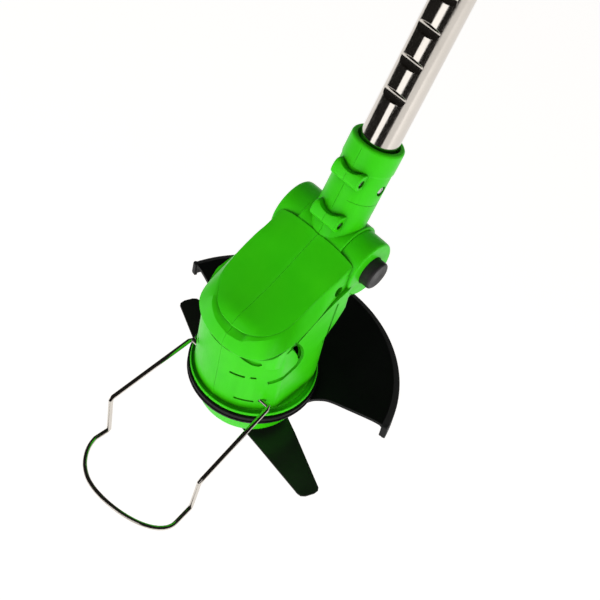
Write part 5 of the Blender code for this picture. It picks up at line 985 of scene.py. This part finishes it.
def battery():
    """The slide-in battery: tub, lid and latch."""
    start, split, end = 892.7, 960.7, 974.7

    def posts(radius, low, length, steps=28):
        return [rod(radius, (x, y, low), length, steps=steps) for x, y in LID_SCREWS]

    tub = case((start, 0.9), (start + 0.3, 0.35), (start + 0.9, 0), (split - 0.5, 0), (split, 0.4))
    plug = case((start - 14, 3.8), (start - 13, 2.8), (start + 1, 2.8))
    room = cut(case((start + 2.2, 2.2), (split + 5, 2.2)), *posts(4.4, split - 20, 30),
               block((-60, -16.3, start - 5), (60, -14.7, 917.7)))
    tools = [room, case((start - 12, 4.8), (start + 3.2, 4.8)), *posts(BORE, split - 12, 30, 20),
             block((-9.5, -33, 900.2), (9.5, -24, 915.2), 0.8, 3),
             block((-7, -25.7, 874.7), (7, -16, 901.7))]
    tools += [block((x - 1, -4, 874.7), (x + 1, 8, 882.7)) for x in (-10, 0, 10)]
    for z in (921, 928, 935, 942, 949):
        for x in (33.2, -33.2):
            tools.append(block((x - 1, -16, z - 1.3), (x + 1, 24, z + 1.3), 0.9, 4))
    tub = cut(unite(tub, plug), *tools)
    add("battery_case", tub, "battery", BLACK, ["battery_tub"])
    lid = case((split + 0.3, 0.5), (split + 0.8, 0), (end - 2.6, 0), (end - 1.2, 0.4), (end - 0.4, 1.2),
               (end, 2.4))
    inside = cut(case((split - 5, 2.2), (end - 3, 2.2)), *posts(4.4, split + 0.3, 30))
    lid = cut(lid, inside, *posts(3.6, end - 4, 30), *posts(BORE, split - 12, 60, 20))
    add("battery_end_lid", lid, "battery", GREEN, ["battery_lid"])

    latch = unite(
        block((-9, -29.5, 900.7), (9, -24.8, 914.7), 1, 4),
        block((-11, -25.5, 899.7), (11, -23.6, 916.7)),
        block((-6, -25.2, 881.2), (6, -23.2, 903.7)),
        block((-5, -27.1, 881.2), (5, -24.2, 884.2), 0.4, 2),
    )
    ribs = [block((-6.5, -31, z - 0.6), (6.5, -28.9, z + 0.6), 0.25, 2) for z in (904.2, 907.2, 910.2)]
    add("battery_release", cut(latch, *ribs), "battery_latch", RUBBER, ["battery_latch"])


# The rest of the frame, floor, light and camera


def motor_cable():
    """The lead from the motor's tabs into the tube, with a bend where the head tilts."""
    route = [(-2.8, 11.5, 69.2), (-5.4, 11.5, 69.2), (LEAD_X, 13.6, 69.6), (LEAD_X, 19, 71.4)]
    in_stem = [(LEAD_X, -15.6, -15.6), (LEAD_X, -10, -16), (LEAD_X, -1.6, -16), (LEAD_X, 2.2, -14.6),
               (LEAD_X, PIVOT_Y, -11), (LEAD_X, PIVOT_Y, 8), (LEAD_X, PIVOT_Y, 26), (-6.4, 2.8, 36),
               (-5.4, 1.4, 46), (-2, 0.4, 58), (0, 0, 68), (0, 0, 110), (0, 0, 240), (0, 0, 362)]
    route += [STEM_IN_HEAD @ Vector(point) for point in in_stem]
    core = sweep(smooth_path(route[:-1], 4) + route[-1:], 2.2, 14)
    branch = [(-2.8, -11.5, 70), (-5.6, -11.5, 70), (LEAD_X, -10.2, 70), (LEAD_X, 11.5, 70)]
    cable = unite(core, sweep(branch, 1.1, 10))
    piece = add("motor_cable", cable, None, CABLE, ["motor_lead"])
    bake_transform(piece)


def pressed_coils():
    """The springs and the coiled lead, copied from the frame with their points merged, on the bodies they
    ride with.
    """
    along = POLE.to_3x3() @ Vector((0, 0, 1))
    across = POLE.to_3x3() @ Vector((0, 1, 0))
    coils = [
        ("tilt_button_spring", "pole", "tilt_button_press", Vector((-1, 0, 0)), 0.005, ZINC),
        ("lock_off_spring", "handle", "lock_off_press", across, 0.0035, ZINC),
        ("battery_latch_spring", "battery", "battery_latch_press", across, 0.003, ZINC),
        ("trigger_spring", "handle", "trigger_squeeze", -across, 0.007, ZINC),
        ("stretch_lead", "handle", "telescope_slide", along, 0.2724, CABLE),
    ]
    for name, body, joint, axis, travel, looks in coils:
        bm = bmesh.new()
        bm.from_mesh(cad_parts[name].data)
        bmesh.ops.remove_doubles(bm, verts=bm.verts, dist=0.000001)
        piece = placed(f"{name}_coil", bm)
        piece.data.materials.append(looks)
        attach(piece, body)
        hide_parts(name)
        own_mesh(piece)


def inner_pieces():
    """Give every piece that is shown as the frame has it a finish of its own."""
    kinds = {
        WRAP: ["battery_cells"],
        COPPER: ["battery_contacts", "battery_terminals", "motor_armature"],
        ZINC: ["lock_lever_pin", "lock_lever_spring", "motor_can", "motor_mount_plate", "motor_shaft",
               "spindle_bearing", "trigger_pin"],
        CABLE: ["handle_lead"],
        BLACK: ["main_switch", "motor_end_cap", "tube_end_bush", "tube_guide_bush"],
        MAGNET: ["motor_magnet_left", "motor_magnet_right"],
    }
    for looks, names in kinds.items():
        for name in names:
            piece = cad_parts[name]
            piece.data.materials.clear()
            piece.data.materials.append(looks)


def studio():
    """A pale floor well below the tool, large soft lights and the photograph's camera."""
    bm = bmesh.new()
    bmesh.ops.create_grid(bm, x_segments=1, y_segments=1, size=3.1)
    bmesh.ops.translate(bm, verts=bm.verts, vec=(1.1, 0.2, -0.6))
    floor = placed("floor", bm)
    pale = bpy.data.materials.new("pale_floor")
    pale.use_nodes = True
    fill(pale.node_tree.nodes["Principled BSDF"], Base_Color=(0.5, 0.495, 0.49, 1), Roughness=0.9,
         Specular_IOR_Level=0, Emission_Color=(1, 0.985, 0.97, 1), Emission_Strength=0.8)
    floor.data.materials.append(pale)

    world = bpy.data.worlds.new("studio")
    world.use_nodes = True
    tree = world.node_tree
    # What lights the tool fades upwards, chrome mirrors a dim room, and the camera sees it pale
    rise = node(tree, "SeparateXYZ", Vector=node(tree, "TexCoord").outputs["Generated"])
    fade = node(tree, "MapRange", Value=rise.outputs["Z"], From_Min=0.1, From_Max=0.75, To_Min=0.8,
                To_Max=0.12)
    room = fill(tree.nodes["Background"], Color=(1, 1, 1, 1), Strength=fade.outputs["Result"])
    mirrored = node(tree, "Background", Color=(0.014, 0.013, 0.012, 1), Strength=1)
    seen = node(tree, "Background", Color=(0.93, 0.925, 0.92, 1), Strength=1)
    path = node(tree, "LightPath")
    for ray, background in (("Is Glossy Ray", mirrored), ("Is Camera Ray", seen)):
        choice = node(tree, "MixShader")
        for index, source in enumerate((path.outputs[ray], room.outputs[0], background.outputs[0])):
            tree.links.new(source, choice.inputs[index])
        room = choice
    tree.links.new(room.outputs[0], tree.nodes["World Output"].inputs[0])
    scene = bpy.context.scene
    scene.world = world
    scene.view_settings.view_transform = "Standard"

    lights = [
        ("mirrored_softbox", (0.17, -1.83, 0.29), 1.5, 0.5, 3.6, -25),
        ("front_softbox", (0.17, -1.83, 0.29), 1.5, 0.5, 10, -25),
        ("near_softbox", (0.02, -0.42, 0.34), 0.25, 0.25, 0.55, 0),
        ("left_softbox", (-2.1, -0.9, 0.7), 0.6, 1.4, 5, 0),
        ("right_softbox", (1.9, -0.2, 0.5), 0.5, 1.6, 15, 0),
        ("overhead_softbox", (0, 0.4, 3.2), 2.2, 2.2, 2, 0),
    ]
    for name, place, width, height, power, turn in lights:
        data = bpy.data.lights.new(name, "AREA")
        data.shape = "RECTANGLE"
        data.size, data.size_y, data.energy = width, height, power
        light = bpy.data.objects.new(name, data)
        light.visible_glossy = name == "mirrored_softbox"
        aim = (Vector((0, 0.05, 0.1)) - Vector(place)).to_track_quat("-Z", "Y").to_matrix().to_4x4()
        light.matrix_world = Matrix.Translation(place) @ aim @ Matrix.Rotation(radians(-turn), 4, "Z")
        scene.collection.objects.link(light)

    data = bpy.data.cameras.new("camera")
    data.sensor_fit = "HORIZONTAL"
    data.sensor_width = 36
    data.lens = 102.03
    data.clip_start = 0.01
    data.clip_end = 50
    camera = bpy.data.objects.new("camera", data)
    right, down, ahead = (0.7171, 0.6805, 0.1508), (0.6098, -0.5076, -0.6087), (-0.3376, 0.5284, -0.779)
    turn = Matrix((right, [-v for v in down], [-v for v in ahead])).transposed()
    camera.matrix_world = Matrix.Translation((0.3619, -0.5314, 0.9165)) @ turn.to_4x4()
    scene.collection.objects.link(camera)
    scene.camera = camera


head()
guard()
rotor()
wire_bow()
screws()
tilt_button()
neck()
tube()
handle()
lock_lever()
trigger_and_lock_off()
grip_sleeve()
front_handle()
battery()
motor_cable()
pressed_coils()
inner_pieces()
studio()
